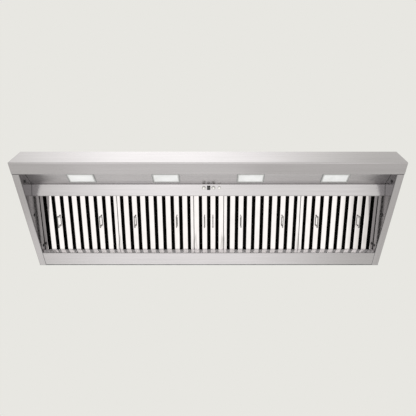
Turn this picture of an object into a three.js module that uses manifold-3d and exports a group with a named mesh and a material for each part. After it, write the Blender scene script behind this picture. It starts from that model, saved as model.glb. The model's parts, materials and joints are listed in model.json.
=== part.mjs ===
// Range hood insert: a folded stainless rim with lamps, controls and slotted baffle filters below,
// and a housing with two blowers and their duct collars above.
// Millimetres, +X to the right, +Y to the rear wall, +Z up; the origin is the middle of the footprint.
import * as THREE from 'three';
import { mergeVertices } from 'three/addons/utils/BufferGeometryUtils.js';
import Module from 'manifold-3d';

const wasm = await Module();
wasm.setup();

// ---------------------------------------------------------------------------------- dimensions

// Shell
const WIDTH = 1483;
const DEPTH = 489;
const RIM_HEIGHT = 108;
const HOUSING_HEIGHT = 305;
const HOUSING_FOOT_SETBACK = 52; // front wall to the foot of the sloped housing front
const HOUSING_TOP_SETBACK = 130; // front wall to the top edge of the sloped housing front
const SHEET = 1.5;
const BEND = 1.5; // inner radius of each fold
const SEAM = 0.3; // clearance between two pieces that touch
const FRONT_FLANGE = 49;
const REAR_FLANGE = 67;
const SIDE_FLANGE = 29.1;
const REAR_LIP = 28;
const LAP = 18; // how far a hidden tab or wall laps its neighbour
const GABLE_REACH = 54; // how far a gable reaches down into its side channel
const EDGE_GAP = 1; // from a gable's front edge to the sloped front
const TOOL_OVERRUN = 1; // how far a cutting tool runs past a face
const FACE_STEP = 0.2; // keeps the faces of two joined blocks apart
const ACCESS_HOLE_RADIUS = 4.5;
const SCREW_HOLE_RADIUS = 2.5;
const ACCESS_HOLE_HEIGHT = 25;
const ACCESS_HOLE_PITCH = 154;
const HOLES_A_SIDE = 3;

// Lamp panel and control panel, which meet at a ridge
const LAMP_PANEL_FOOT = 34; // height of its front edge, where it leaves the front flange
const LAMP_PANEL_RUN = 75;
const LAMP_PANEL_RISE = 34;
const CONTROL_PANEL_RUN = 44.8;
const CONTROL_PANEL_DROP = 24.3;
const RIDGE_FLANGE = 12;
const PANEL_END_GAP = 0.9;

// Lamps
const LAMPS = 4;
const LAMP_TO_SIDE = 240.5; // from the hood's side to the middle of its end lamp
const LENS_LENGTH = 101;
const LENS_WIDTH = 46;
const LENS_THICKNESS = 3;
const LENS_TO_RIDGE = 14.5;
const LENS_PLAY = 0.3;
const LENS_LEDGE = 2;
const BEZEL_LIP = 2.4;
const BEZEL_THICKNESS = 1.2;
const LAMP_WALL = 1.2;
const LAMP_TRAY = 26;
const BOARD_INSET = 8; // lens end to the end of the light board
const BOARD_WIDTH = 18;
const BOARD_THICKNESS = 1.6;
const EMITTERS = 5;
const EMITTER_PITCH = 17;
const EMITTER_SIZE = 5;
const EMITTER_HEIGHT = 1;

// Filters
const FILTER_TILT = THREE.MathUtils.degToRad(17.2);
const NARROW_FILTER = 125.6;
const FILTER_THICKNESS = 22;
const FILTER_SHEET = 1;
const FILTER_PLAY = 1.2667; // beside and between the filters
const FILTER_TRAVEL = 18; // how far a filter slides up into the rail
const RAIL_BEARING = 24; // length of filter that lies on the rail
const RAIL_OVERHANG = 16.1; // how far the rail reaches past the control panel
const RAIL_HEADROOM = 2.5;
const RAIL_STOP_GAP = 1; // past the filter's full travel
const LEDGE_BEARING = 15; // length of filter that lies on the rear ledge
const LEDGE_STOP = 8;
const FRAME_END_FLANGE = 11;
const FRAME_TOP_FLANGE = 7;

// Slotted baffles
const SLOT_PITCH = 35.5;
const SLOT_WIDTH = 12.75;
const LEAST_MARGIN = 18; // least distance from a filter's side to the middle of its first slot
const STRIP_SHEET = 0.8;
const STRIP_FLAT = 8;
const STRIP_RISE = 2.2;
const STRIP_LIP = 7.5;
const COVER_STRIP_WIDTH = 23;
const COVER_STRIP_LIP = 11;
const END_WALL = 1.2;

// Bail handles
const BAIL_LENGTH = 57;
const BAIL_STANDOFF = 27; // from the filter's underside to the far side of the bail
const BAIL_WIRE_RADIUS = 1.9;
const BAIL_BEND = 4;
const BAIL_END = 3.5; // length of wire that stands in past each ear
const EAR_THICKNESS = 2.4;
const EAR_RADIUS = 4.4;
const EAR_PLAY = 0.45;
const PIVOT_DROP = 3.6; // from the filter's underside to the bail's pivot axis

// Controls, placed on the control panel
const CONTROLS_TO_RIDGE = 15.5;
const FAN_KNOB_X = -18.5;
const LIGHT_KNOB_X = 20;
const SWITCH_X = 1;
const SENSOR_X = 44;
const KNOB_RADIUS = 7.6;
const KNOB_HEIGHT = 11;
const KNOB_WALL = 3;
const KNOB_SKIRT_HEIGHT = 2.2;
const KNOB_SKIRT_STEP = 0.9;
const KNOB_TAPER = 0.3;
const KNOB_CHAMFER = 1;
const POINTER_WIDTH = 1.2;
const POINTER_START = 1.5; // from the knob's axis
const POINTER_HEIGHT = 0.3;
const KNOB_SHAFT_RADIUS = 3;
const KNOB_SHAFT_PLAY = 0.3;
const BUSHING_RADIUS = 4.2;
const SWITCH_WIDTH = 13.6;
const SWITCH_LENGTH = 17.7;
const SWITCH_RIM = 1.1;
const SWITCH_DEPTH = 9;
const SWITCH_FACE = 1.4; // how far the bezel stands off the panel
const ROCKER_PLAY = 0.3;
const ROCKER_SLACK = 0.8; // what both rockers together are narrower than their places
const ROCKER_STAND = 0.6; // how far the rockers' ends stand past the bezel
const ROCKER_SKIRT = 1.6;
const ROCKER_TAPER = 1;
const ROCKER_PIN_RADIUS = 0.8;
const ROCKER_PIN_PLAY = 0.25;
const ROCKER_PIN_DEPTH = 1.5; // below the control panel's face
const ROCKER_REST = THREE.MathUtils.degToRad(7);
const SENSOR_RADIUS = 6.5;
const SENSOR_RIM = 1;
const SENSOR_DOME = 2.6;
const SENSOR_NUT = 3;
const SENSOR_STEM_RADIUS = 3.4;
const CONTROL_BOX_LENGTH = 66;
const CONTROL_BOX_WIDTH = 22;
const CONTROL_BOX_DEPTH = 21;

// Blowers
const BLOWER_OFFSET = 345;
const BLOWER_DROP = 105; // top panel to the impeller's axis
const IMPELLER_RADIUS = 70;
const IMPELLER_WIDTH = 120;
const BLADES = 18;
const BLADE_DEPTH = 12;
const BLADE_SHEET = 1.2;
const BLADE_EDGE_GAP = 0.6; // ring's rim to the blade's outer edge
const BLADE_LEAN = [-0.2, -0.05, 0.35]; // sideways, from inner to outer edge, in blade depths
const DISC_THICKNESS = 2;
const DISC_LAP = 1.5; // how far the disc reaches in among the blades
const RING_LIP = 1; // how far a ring reaches in past the blades
const RING_THICKNESS = 3;
const HUB_RADIUS = 12;
const HUB_LENGTH = 30;
const MOTOR_SHAFT_RADIUS = 4;
const SHAFT_STUB = 4; // how far the shaft ends past the hub
const SHAFT_ROOT = 2; // how far it starts inside the motor
const SHAFT_PLAY = 0.3;
const SCROLL_CLEARANCE = 5; // least gap from the impeller to the scroll's wall
const SCROLL_GROWTH = 28;
const SCROLL_SHEET = 1.2;
const SCROLL_FLANGE = 18;
const SCROLL_START = THREE.MathUtils.degToRad(100);
const INLET_RADIUS = 61;
const MOTOR_RADIUS = 42;
const MOTOR_OVERHANG = 30;
const MOTOR_TO_DISC = 8;
const ARM_WIDTH = 14;
const ARM_THICKNESS = 2.5;
const ARM_ROOT = 4; // how far an arm starts inside the motor
const ARM_FOOT = 10; // how far it laps the scroll's side

// Duct collars and backdraft flaps
const COLLAR_RADIUS = 101.5;
const COLLAR_HEIGHT = 40;
const COLLAR_FLANGE = 21;
const OUTLET_EDGE = 4; // from the collar's outside in to the edge of the top panel's hole
const STOP_WIDTH = 14;
const STOP_REACH = 5; // how far a stop reaches in under its flap
const FLAP_PIN_RADIUS = 3;
const FLAP_PIN_HEIGHT = 16; // above the top panel
const KNUCKLE_PLAY = 0.4;
const KNUCKLE_WALL = 1.5;
const KNUCKLE_LENGTH = 20;
const KNUCKLE_GAP = 1;
const KNUCKLE_LAP = 1; // how far a knuckle's tab reaches into its flap
const FLAP_SHEET = 1.2;
const FLAP_EDGE_GAP = 3;
const FLAP_TO_PIN = 6.4;

// Junction box
const JUNCTION_WIDTH = 110;
const JUNCTION_DEPTH = 80;
const JUNCTION_HEIGHT = 45;
const KNOCKOUT_RADIUS = 11;

// ------------------------------------------------------------------------------ derived places

const innerHalf = WIDTH / 2 - SIDE_FLANGE; // visible face of each inner side wall
const gableInner = innerHalf + SHEET + SEAM;
const gableOuter = gableInner + SHEET;
const backFace = DEPTH - SHEET; // inner face of the rear panel
const ridgeY = FRONT_FLANGE + LAMP_PANEL_RUN;
const ridgeZ = LAMP_PANEL_FOOT + LAMP_PANEL_RISE;
const returnY = ridgeY + CONTROL_PANEL_RUN; // rear face of the control panel's return
const lipY = DEPTH - REAR_FLANGE;
const underTop = HOUSING_HEIGHT - SHEET; // underside of the top panel
const panelLength = 2 * (innerHalf - PANEL_END_GAP);

// The filters' underside plane: s runs down the slope from the filters' front ends at rest,
// w stands square to the plane, upwards.
const cosTilt = Math.cos(FILTER_TILT);
const sinTilt = Math.sin(FILTER_TILT);
const tanTilt = Math.tan(FILTER_TILT);
const planeZ = (y) => REAR_LIP + SEAM / cosTilt + (lipY - y) * tanTilt;
const filterFrontY = returnY + RAIL_OVERHANG - RAIL_BEARING * cosTilt;
const lipS = (lipY - filterFrontY) / cosTilt;
const filterLength = lipS + LEDGE_BEARING;
const onSlope = (s, w) => new THREE.Vector2(
  filterFrontY + s * cosTilt + w * sinTilt,
  planeZ(filterFrontY) - s * sinTilt + w * cosTilt,
);

const lampAngle = Math.atan2(LAMP_PANEL_RISE, LAMP_PANEL_RUN);
const controlAngle = Math.atan2(CONTROL_PANEL_DROP, CONTROL_PANEL_RUN);
const wideFilter = (2 * innerHalf - NARROW_FILTER - 6 * FILTER_PLAY) / 4;

// ----------------------------------------------------------------------------------- materials

const finish = (color, roughness, metalness) =>
  new THREE.MeshStandardMaterial({ color, roughness, metalness });
const brushedSteel = finish(0xcfcdc7, 0.34, 1);
const polishedSteel = finish(0xe4e3df, 0.16, 1);
const galvanised = finish(0xb4b8ba, 0.5, 1);
const wireSteel = finish(0xd9d8d4, 0.14, 1);
const frostedLens = finish(0xfbfaf4, 0.5, 0);
const whiteEnamel = finish(0xe9e7e1, 0.4, 0);
const paleKnob = finish(0xdcdad4, 0.3, 1);
const blackPlastic = finish(0x17181a, 0.42, 0);
const darkMotor = finish(0x3a3c3f, 0.5, 0.4);
const aluminium = finish(0xc9cbcc, 0.4, 1);

// -------------------------------------------------------------------------------- solid helpers

const assembly = new THREE.Group();
assembly.position.y = -DEPTH / 2;

function add(name, geometry, material, parent = assembly) {
  const mesh = new THREE.Mesh(geometry, material);
  mesh.name = name;
  parent.add(mesh);
  return mesh;
}

// Signed volume of an indexed closed surface; it is negative when the faces point inwards.
function signedVolume(position, index) {
  let sum = 0;
  const corner = (k) => new THREE.Vector3().fromArray(position, 3 * k);
  for (let i = 0; i < index.length; i += 3) {
    const [a, b, c] = [corner(index[i]), corner(index[i + 1]), corner(index[i + 2])];
    sum += a.dot(b.cross(c)) / 6;
  }
  return sum;
}

function solid(geometry) {
  const bare = new THREE.BufferGeometry();
  bare.setAttribute('position', geometry.getAttribute('position').clone());
  bare.setIndex(geometry.index);
  const merged = mergeVertices(bare, 1e-3);
  const position = merged.getAttribute('position').array;
  const index = [];
  for (let i = 0; i < merged.index.count; i += 3) {
    const [a, b, c] = [0, 1, 2].map((k) => merged.index.getX(i + k));
    if (a !== b && b !== c && c !== a) index.push(a, b, c); // leaves out a pole's flat triangles
  }
  if (signedVolume(position, index) < 0) index.reverse();
  return new wasm.Manifold(new wasm.Mesh({
    numProp: 3,
    vertProperties: new Float32Array(position),
    triVerts: new Uint32Array(index),
  }));
}

function geometryOf(manifold) {
  const mesh = manifold.getMesh();
  const geometry = new THREE.BufferGeometry();
  geometry.setAttribute('position', new THREE.BufferAttribute(mesh.vertProperties, 3));
  geometry.setIndex(new THREE.BufferAttribute(mesh.triVerts, 1));
  const flat = geometry.toNonIndexed();
  flat.computeVertexNormals();
  return flat;
}

const join = (...pieces) => pieces.map(solid).reduce((whole, piece) => whole.add(piece));
const cut = (body, ...tools) => tools.map(solid).reduce((rest, tool) => rest.subtract(tool), body);

// ------------------------------------------------------------------------------- shape helpers

const point = (x, y) => new THREE.Vector2(x, y);
const span = (a, b) => [Math.min(a, b), Math.max(a, b)];

function box(x0, x1, y0, y1, z0, z1) {
  const block = new THREE.BoxGeometry(x1 - x0, y1 - y0, z1 - z0);
  return block.translate((x0 + x1) / 2, (y0 + y1) / 2, (z0 + z1) / 2);
}

// A profile drawn in (y, z) becomes a prism along X from x0 to x1.
function prismX(profile, x0, x1) {
  const prism = new THREE.ExtrudeGeometry(profile, { depth: x1 - x0, bevelEnabled: false });
  const turn = new THREE.Matrix4().set(0, 0, 1, x0, 1, 0, 0, 0, 0, 1, 0, 0, 0, 0, 0, 1);
  return prism.applyMatrix4(turn);
}

// A profile drawn in (x, z) becomes a prism along Y from y0 to y1.
function prismY(profile, y0, y1) {
  const prism = new THREE.ExtrudeGeometry(profile, { depth: y1 - y0, bevelEnabled: false });
  return prism.rotateX(Math.PI / 2).translate(0, y1, 0);
}

// A profile drawn in (x, y) becomes a prism along Z from z0 to z1.
function prismZ(profile, z0, z1) {
  const prism = new THREE.ExtrudeGeometry(profile, { depth: z1 - z0, bevelEnabled: false });
  return prism.translate(0, 0, z0);
}

const cylinderX = (radius, x0, x1, y, z, sides = 24) =>
  new THREE.CylinderGeometry(radius, radius, x1 - x0, sides)
    .rotateZ(Math.PI / 2).translate((x0 + x1) / 2, y, z);

const cylinderZ = (radius, z0, z1, x = 0, y = 0, sides = 24) =>
  new THREE.CylinderGeometry(radius, radius, z1 - z0, sides)
    .rotateX(Math.PI / 2).translate(x, y, (z0 + z1) / 2);

// A body of revolution about Z from (radius, height) points.
const turned = (points, sides) => new THREE.LatheGeometry(points, sides).rotateX(Math.PI / 2);

// Rounds the corners of a face's section. The sheet lies to the left of the face, so a left turn
// has the outer radius and a right turn the inner one.
function roundedFace(corners, sheet) {
  const STEPS = 2;
  const face = [corners[0]];
  for (let i = 1; i < corners.length - 1; i += 1) {
    const before = corners[i].clone().sub(corners[i - 1]).normalize();
    const after = corners[i + 1].clone().sub(corners[i]).normalize();
    const turn = Math.atan2(before.cross(after), before.dot(after));
    const radius = turn > 0 ? BEND + sheet : BEND;
    const setback = radius * Math.tan(Math.abs(turn) / 2);
    const start = corners[i].clone().addScaledVector(before, -setback);
    const side = Math.sign(turn);
    const centre = start.clone().add(point(-before.y, before.x).multiplyScalar(side * radius));
    for (let k = 0; k <= STEPS; k += 1) {
      face.push(start.clone().rotateAround(centre, turn * (k / STEPS)));
    }
  }
  face.push(corners[corners.length - 1]);
  return face;
}

// Section of a folded sheet: the face that is given, and its copy one sheet to the left.
function sheetSection(corners, { sheet = SHEET, rounded = true } = {}) {
  const face = rounded ? roundedFace(corners, sheet) : corners;
  const normal = (a, b) => point(a.y - b.y, b.x - a.x).normalize();
  const inner = face.map((corner, i) => {
    const near = i > 0 ? normal(face[i - 1], corner) : normal(corner, face[i + 1]);
    const far = i < face.length - 1 ? normal(corner, face[i + 1]) : near;
    const mitre = near.clone().add(far).multiplyScalar(sheet / (1 + near.dot(far)));
    return corner.clone().add(mitre);
  });
  return new THREE.Shape([...face, ...inner.reverse()]);
}

// The same face mirrored to the other side, with the sheet still to its left.
const mirroredFace = (corners) => corners.map(({ x, y }) => point(-x, y)).reverse();

function rectangle(width, height, x = 0, y = 0) {
  const [w, h] = [width / 2, height / 2];
  return new THREE.Shape([
    point(x - w, y - h), point(x + w, y - h), point(x + w, y + h), point(x - w, y + h),
  ]);
}

function roundedRectangle(width, height, radius) {
  const [w, h, turn] = [width / 2 - radius, height / 2 - radius, Math.PI / 2];
  const shape = new THREE.Shape();
  shape.absarc(w, -h, radius, -turn, 0);
  shape.absarc(w, h, radius, 0, turn);
  shape.absarc(-w, h, radius, turn, 2 * turn);
  shape.absarc(-w, -h, radius, 2 * turn, 3 * turn);
  return new THREE.Shape(shape.getPoints(1));
}

function ringPoints(radius, sides, x = 0, y = 0) {
  return Array.from({ length: sides }, (_, i) => {
    const angle = (2 * Math.PI * i) / sides;
    return point(x + radius * Math.cos(angle), y + radius * Math.sin(angle));
  });
}

// --------------------------------------------------------------------------------------- shell

function buildFrontPanel() {
  const innerTop = LAMP_PANEL_FOOT - (SHEET * LAMP_PANEL_RISE) / LAMP_PANEL_RUN - SEAM;
  const section = sheetSection([
    point(FRONT_FLANGE, RIM_HEIGHT), point(0, RIM_HEIGHT), point(0, 0),
    point(FRONT_FLANGE, 0), point(FRONT_FLANGE, innerTop),
  ]);
  const channel = prismX(section, -WIDTH / 2, WIDTH / 2);
  const inset = 0.7 * SHEET; // the end plates' edges lie within the folded sheet
  const ends = [-1, 1].map((side) => {
    const outer = (side * WIDTH) / 2;
    const [x0, x1] = span(outer, outer - side * SHEET);
    return box(x0, x1, inset, FRONT_FLANGE - inset, inset, RIM_HEIGHT - inset);
  });
  add('front_panel', geometryOf(join(channel, ...ends)), brushedSteel);
}

function buildSideChannel(name, side) {
  const face = [
    point(innerHalf, RIM_HEIGHT), point(innerHalf, 0), point(WIDTH / 2, 0),
    point(WIDTH / 2, RIM_HEIGHT), point(gableOuter + SEAM, RIM_HEIGHT),
  ];
  const section = sheetSection(side > 0 ? face : mirroredFace(face));
  const channel = solid(prismY(section, FRONT_FLANGE + SEAM, backFace - SEAM));
  const holes = [];
  for (let i = 0; i < HOLES_A_SIDE; i += 1) {
    const y = DEPTH / 2 + (i - (HOLES_A_SIDE - 1) / 2) * ACCESS_HOLE_PITCH;
    const inner = span(side * (innerHalf - TOOL_OVERRUN), side * (innerHalf + SHEET + TOOL_OVERRUN));
    const outer = span(side * (WIDTH / 2 - SHEET - TOOL_OVERRUN), side * (WIDTH / 2 + TOOL_OVERRUN));
    holes.push(cylinderX(ACCESS_HOLE_RADIUS, ...inner, y, ACCESS_HOLE_HEIGHT, 12));
    holes.push(cylinderX(SCREW_HOLE_RADIUS, ...outer, y, ACCESS_HOLE_HEIGHT, 8));
  }
  add(name, geometryOf(cut(channel, ...holes)), brushedSteel);
}

function buildRearTrough() {
  const behind = filterLength + BEND + SEAM;
  const ledgeRear = onSlope(behind, -SEAM);
  const section = sheetSection([
    onSlope(behind, LEDGE_STOP), ledgeRear, point(lipY, REAR_LIP), point(lipY, 0),
    point(backFace - SEAM, 0), point(backFace - SEAM, RIM_HEIGHT - LAP),
  ]);
  const half = innerHalf - SEAM;
  add('rear_trough', prismX(section, -half, half), brushedSteel);
}

function buildRearPanel() {
  const half = WIDTH / 2;
  const outline = new THREE.Shape([
    point(-half, 0), point(half, 0), point(half, RIM_HEIGHT), point(gableOuter, RIM_HEIGHT),
    point(gableOuter, underTop - SEAM), point(-gableOuter, underTop - SEAM),
    point(-gableOuter, RIM_HEIGHT), point(-half, RIM_HEIGHT),
  ]);
  add('rear_panel', prismY(outline, backFace, DEPTH), galvanised);
}

function buildHousingFront() {
  const foot = RIM_HEIGHT + SEAM;
  const top = underTop - SEAM;
  const section = sheetSection([
    point(HOUSING_TOP_SETBACK + LAP, top), point(HOUSING_TOP_SETBACK, top),
    point(HOUSING_FOOT_SETBACK, foot + SHEET), point(HOUSING_FOOT_SETBACK - LAP, foot + SHEET),
  ]);
  const half = gableInner - SEAM;
  add('housing_front', prismX(section, -half, half), galvanised);
}

function buildGable(name, side) {
  const rear = backFace - SEAM;
  const slope = (HOUSING_TOP_SETBACK - HOUSING_FOOT_SETBACK) / (underTop - RIM_HEIGHT);
  const foot = RIM_HEIGHT + SEAM + SHEET;
  const outline = new THREE.Shape([
    point(HOUSING_FOOT_SETBACK + LAP, RIM_HEIGHT - GABLE_REACH), point(rear, RIM_HEIGHT - GABLE_REACH),
    point(rear, underTop - BEND), point(HOUSING_TOP_SETBACK, underTop - BEND),
    point(HOUSING_FOOT_SETBACK + slope * (foot - RIM_HEIGHT) + EDGE_GAP, foot),
    point(HOUSING_FOOT_SETBACK + EDGE_GAP, RIM_HEIGHT - LAP),
  ]);
  const [x0, x1] = span(side * gableInner, side * gableOuter);
  add(name, prismX(outline, x0, x1), galvanised);
}

function buildTopPanel() {
  const outer = gableOuter + SEAM + SHEET;
  const skirt = underTop - LAP;
  // the face is the outside of the skirts and the top, so the sheet lies inside it
  const section = sheetSection([
    point(outer, skirt), point(outer, HOUSING_HEIGHT),
    point(-outer, HOUSING_HEIGHT), point(-outer, skirt),
  ]);
  const panel = solid(prismY(section, HOUSING_TOP_SETBACK, backFace - SEAM));
  const through = [underTop - TOOL_OVERRUN, HOUSING_HEIGHT + TOOL_OVERRUN];
  const holes = [-1, 1].map((side) => cylinderZ(
    COLLAR_RADIUS - OUTLET_EDGE, ...through, side * BLOWER_OFFSET, outletY, 28,
  ));
  const knockout = cylinderZ(KNOCKOUT_RADIUS, ...through, 0, outletY, 12);
  add('top_panel', geometryOf(cut(panel, ...holes, knockout)), galvanised);
}

// ------------------------------------------------------------------------------ sloped panels

// Groups whose local z points out of a sloped panel's underside and local x is the hood's.
function groupOnLampPanel(x, toRidge) {
  const group = new THREE.Group();
  const [y, z] = [Math.cos(lampAngle) * toRidge, Math.sin(lampAngle) * toRidge];
  group.position.set(x, ridgeY - y, ridgeZ - z);
  group.rotation.x = Math.PI + lampAngle;
  assembly.add(group);
  return group;
}

function groupOnControlPanel(x) {
  const group = new THREE.Group();
  group.position.set(
    x,
    ridgeY + Math.cos(controlAngle) * CONTROLS_TO_RIDGE,
    ridgeZ - Math.sin(controlAngle) * CONTROLS_TO_RIDGE,
  );
  group.rotation.x = Math.PI - controlAngle;
  assembly.add(group);
  return group;
}

// A cutting tool drawn in a panel group's own frame, moved to where that group stands.
function placedTool(group, geometry) {
  group.updateMatrix();
  return geometry.applyMatrix4(group.matrix);
}

const lampToRidge = LENS_TO_RIDGE + LENS_WIDTH / 2;
const lampPitch = (WIDTH - 2 * LAMP_TO_SIDE) / (LAMPS - 1);
const lampPlaces = Array.from({ length: LAMPS }, (_, i) => (i - (LAMPS - 1) / 2) * lampPitch);
const bodyLength = LENS_LENGTH + 2 * (LENS_PLAY + LAMP_WALL);
const bodyWidth = LENS_WIDTH + 2 * (LENS_PLAY + LAMP_WALL);

function buildLampPanel() {
  const tabY = FRONT_FLANGE - SHEET - SEAM;
  const section = sheetSection([
    point(tabY, LAMP_PANEL_FOOT - LAP),
    point(tabY, LAMP_PANEL_FOOT - ((FRONT_FLANGE - tabY) * LAMP_PANEL_RISE) / LAMP_PANEL_RUN),
    point(ridgeY, ridgeZ), point(ridgeY, ridgeZ + RIDGE_FLANGE),
  ]);
  const panel = solid(prismX(section, -panelLength / 2, panelLength / 2));
  const cutouts = lampPlaces.map((x) => placedTool(
    groupOnLampPanel(x, lampToRidge),
    box(
      -bodyLength / 2 - SEAM, bodyLength / 2 + SEAM,
      -bodyWidth / 2 - SEAM, bodyWidth / 2 + SEAM, -3 * SHEET, SHEET,
    ),
  ));
  add('lamp_panel', geometryOf(cut(panel, ...cutouts)), brushedSteel);
}

function buildControlPanel() {
  const startY = ridgeY + SEAM;
  const railUnderside = -SEAM - SHEET;
  const landing = (y) => planeZ(y) + (railUnderside - SEAM) / cosTilt;
  const section = sheetSection([
    point(startY, ridgeZ + RIDGE_FLANGE), point(startY, ridgeZ),
    point(returnY, ridgeZ - CONTROL_PANEL_DROP), point(returnY, landing(returnY)),
    point(returnY - LAP, landing(returnY - LAP)),
  ]);
  const panel = solid(prismX(section, -panelLength / 2, panelLength / 2));
  const middle = groupOnControlPanel(0);
  const through = [-3 * SHEET, SHEET];
  const holes = [
    cylinderZ(BUSHING_RADIUS + SEAM, ...through, FAN_KNOB_X, 0, 12),
    cylinderZ(BUSHING_RADIUS + SEAM, ...through, LIGHT_KNOB_X, 0, 12),
    cylinderZ(SENSOR_STEM_RADIUS + SEAM, ...through, SENSOR_X, 0, 12),
    prismZ(rectangle(
      SWITCH_WIDTH - 2 * SWITCH_RIM + 2 * SEAM, SWITCH_LENGTH - 2 * SWITCH_RIM + 2 * SEAM, SWITCH_X,
    ), ...through),
  ].map((tool) => placedTool(middle, tool));
  add('control_panel', geometryOf(cut(panel, ...holes)), brushedSteel);
}

function buildFilterRail() {
  const front = -FILTER_TRAVEL - RAIL_STOP_GAP;
  const roof = FILTER_THICKNESS + RAIL_HEADROOM;
  const section = sheetSection([
    onSlope(RAIL_BEARING, -SEAM), onSlope(front, -SEAM),
    onSlope(front, roof), onSlope(RAIL_BEARING / 2, roof),
  ]);
  add('filter_rail', prismX(section, -panelLength / 2, panelLength / 2), galvanised);
}

// --------------------------------------------------------------------------------------- lamps

function buildLamp(number, x) {
  const place = groupOnLampPanel(x, lampToRidge);
  const face = SEAM + BEZEL_THICKNESS;
  const lensTop = face - LENS_THICKNESS;
  const [lensL, lensW] = [LENS_LENGTH, LENS_WIDTH];
  const rim = prismZ(
    roundedRectangle(bodyLength + 2 * BEZEL_LIP, bodyWidth + 2 * BEZEL_LIP, BEZEL_LIP), SEAM, face,
  );
  const tray = box(
    -bodyLength / 2, bodyLength / 2, -bodyWidth / 2, bodyWidth / 2, -LAMP_TRAY, face - FACE_STEP,
  );
  const pocket = box(
    -lensL / 2 - LENS_PLAY, lensL / 2 + LENS_PLAY, -lensW / 2 - LENS_PLAY, lensW / 2 + LENS_PLAY,
    lensTop - LENS_PLAY, face + TOOL_OVERRUN,
  );
  const cavity = box(
    -lensL / 2 + LENS_LEDGE, lensL / 2 - LENS_LEDGE, -lensW / 2 + LENS_LEDGE,
    lensW / 2 - LENS_LEDGE, LAMP_WALL - LAMP_TRAY, face + TOOL_OVERRUN,
  );
  const floor = LAMP_WALL - LAMP_TRAY;
  const boardHalf = lensL / 2 - BOARD_INSET;
  const boardTop = floor + BOARD_THICKNESS;
  const board = box(
    -boardHalf, boardHalf, -BOARD_WIDTH / 2, BOARD_WIDTH / 2, floor - FACE_STEP, boardTop,
  );
  const emitter = EMITTER_SIZE / 2;
  const emitters = Array.from({ length: EMITTERS }, (_, i) => {
    const at = (i - (EMITTERS - 1) / 2) * EMITTER_PITCH;
    return box(
      at - emitter, at + emitter, -emitter, emitter, boardTop - FACE_STEP, boardTop + EMITTER_HEIGHT,
    );
  });
  const shell = cut(join(rim, tray), pocket, cavity);
  const lit = [board, ...emitters].map(solid).reduce((whole, piece) => whole.add(piece), shell);
  add(`lamp_housing_${number}`, geometryOf(lit), whiteEnamel, place);
  const lens = prismZ(roundedRectangle(lensL, lensW, BEND), lensTop, face);
  add(`lamp_lens_${number}`, lens, frostedLens, place);
}

// ------------------------------------------------------------------------------------- filters

// Filters are drawn in their own frame: x across, y down the slope, z square to the underside.

function stripSection(middle, lowest) {
  const half = (SLOT_PITCH - SLOT_WIDTH) / 2;
  const [flank, lip] = [lowest + STRIP_RISE, lowest + STRIP_RISE + STRIP_LIP];
  return sheetSection([
    point(middle - half, lip), point(middle - half, flank), point(middle - STRIP_FLAT / 2, lowest),
    point(middle + STRIP_FLAT / 2, lowest), point(middle + half, flank), point(middle + half, lip),
  ], { sheet: STRIP_SHEET, rounded: false });
}

function coverSection(middle, highest) {
  const half = COVER_STRIP_WIDTH / 2;
  return sheetSection([
    point(middle + half, highest - COVER_STRIP_LIP), point(middle + half, highest),
    point(middle - half, highest), point(middle - half, highest - COVER_STRIP_LIP),
  ], { sheet: STRIP_SHEET, rounded: false });
}

function earAt(x, y) {
  const bore = BAIL_WIRE_RADIUS + EAR_PLAY;
  const root = FILTER_SHEET + SEAM + STRIP_SHEET / 2;
  const shape = new THREE.Shape([
    point(x + EAR_RADIUS, root), point(x - EAR_RADIUS, root),
    ...ringPoints(EAR_RADIUS, 8, x, -PIVOT_DROP).slice(4, 8),
    point(x + EAR_RADIUS, -PIVOT_DROP),
  ]);
  shape.holes.push(new THREE.Path(ringPoints(bore, 6, x, -PIVOT_DROP)));
  return prismY(shape, y - EAR_THICKNESS / 2, y + EAR_THICKNESS / 2);
}

// Wire centre line through a list of knots, one knot a step, so that bends get the steps.
class KnottedWire extends THREE.Curve {
  constructor(knots) {
    super();
    this.knots = knots;
  }

  getPoint(t, target = new THREE.Vector3()) {
    const at = t * (this.knots.length - 1);
    const i = Math.min(Math.floor(at), this.knots.length - 2);
    return target.lerpVectors(this.knots[i], this.knots[i + 1], at - i);
  }

  getUtoTmapping(u) {
    return u;
  }
}

const earOffset = BAIL_LENGTH / 2 - BAIL_WIRE_RADIUS - BAIL_BEND - SEAM - EAR_THICKNESS / 2;

function bailWire(x) {
  const reach = BAIL_LENGTH / 2 - BAIL_WIRE_RADIUS;
  const grip = -BAIL_STANDOFF + BAIL_WIRE_RADIUS;
  const half = [point(earOffset - EAR_THICKNESS / 2 - BAIL_END, -PIVOT_DROP)];
  const bend = (centre, from, to) => {
    for (let k = 0; k <= 2; k += 1) {
      const angle = from + ((to - from) * k) / 2;
      half.push(point(centre.x + BAIL_BEND * Math.cos(angle), centre.y + BAIL_BEND * Math.sin(angle)));
    }
  };
  bend(point(reach - BAIL_BEND, -PIVOT_DROP - BAIL_BEND), Math.PI / 2, 0);
  bend(point(reach - BAIL_BEND, grip + BAIL_BEND), 0, -Math.PI / 2);
  const knots = [
    ...half.map((k) => new THREE.Vector3(x, k.x, k.y)),
    ...half.map((k) => new THREE.Vector3(x, -k.x, k.y)).reverse(),
  ];
  const section = new THREE.Shape(ringPoints(BAIL_WIRE_RADIUS, 6));
  return new THREE.ExtrudeGeometry(section, {
    steps: knots.length - 1, extrudePath: new KnottedWire(knots), bevelEnabled: false,
  });
}

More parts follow.
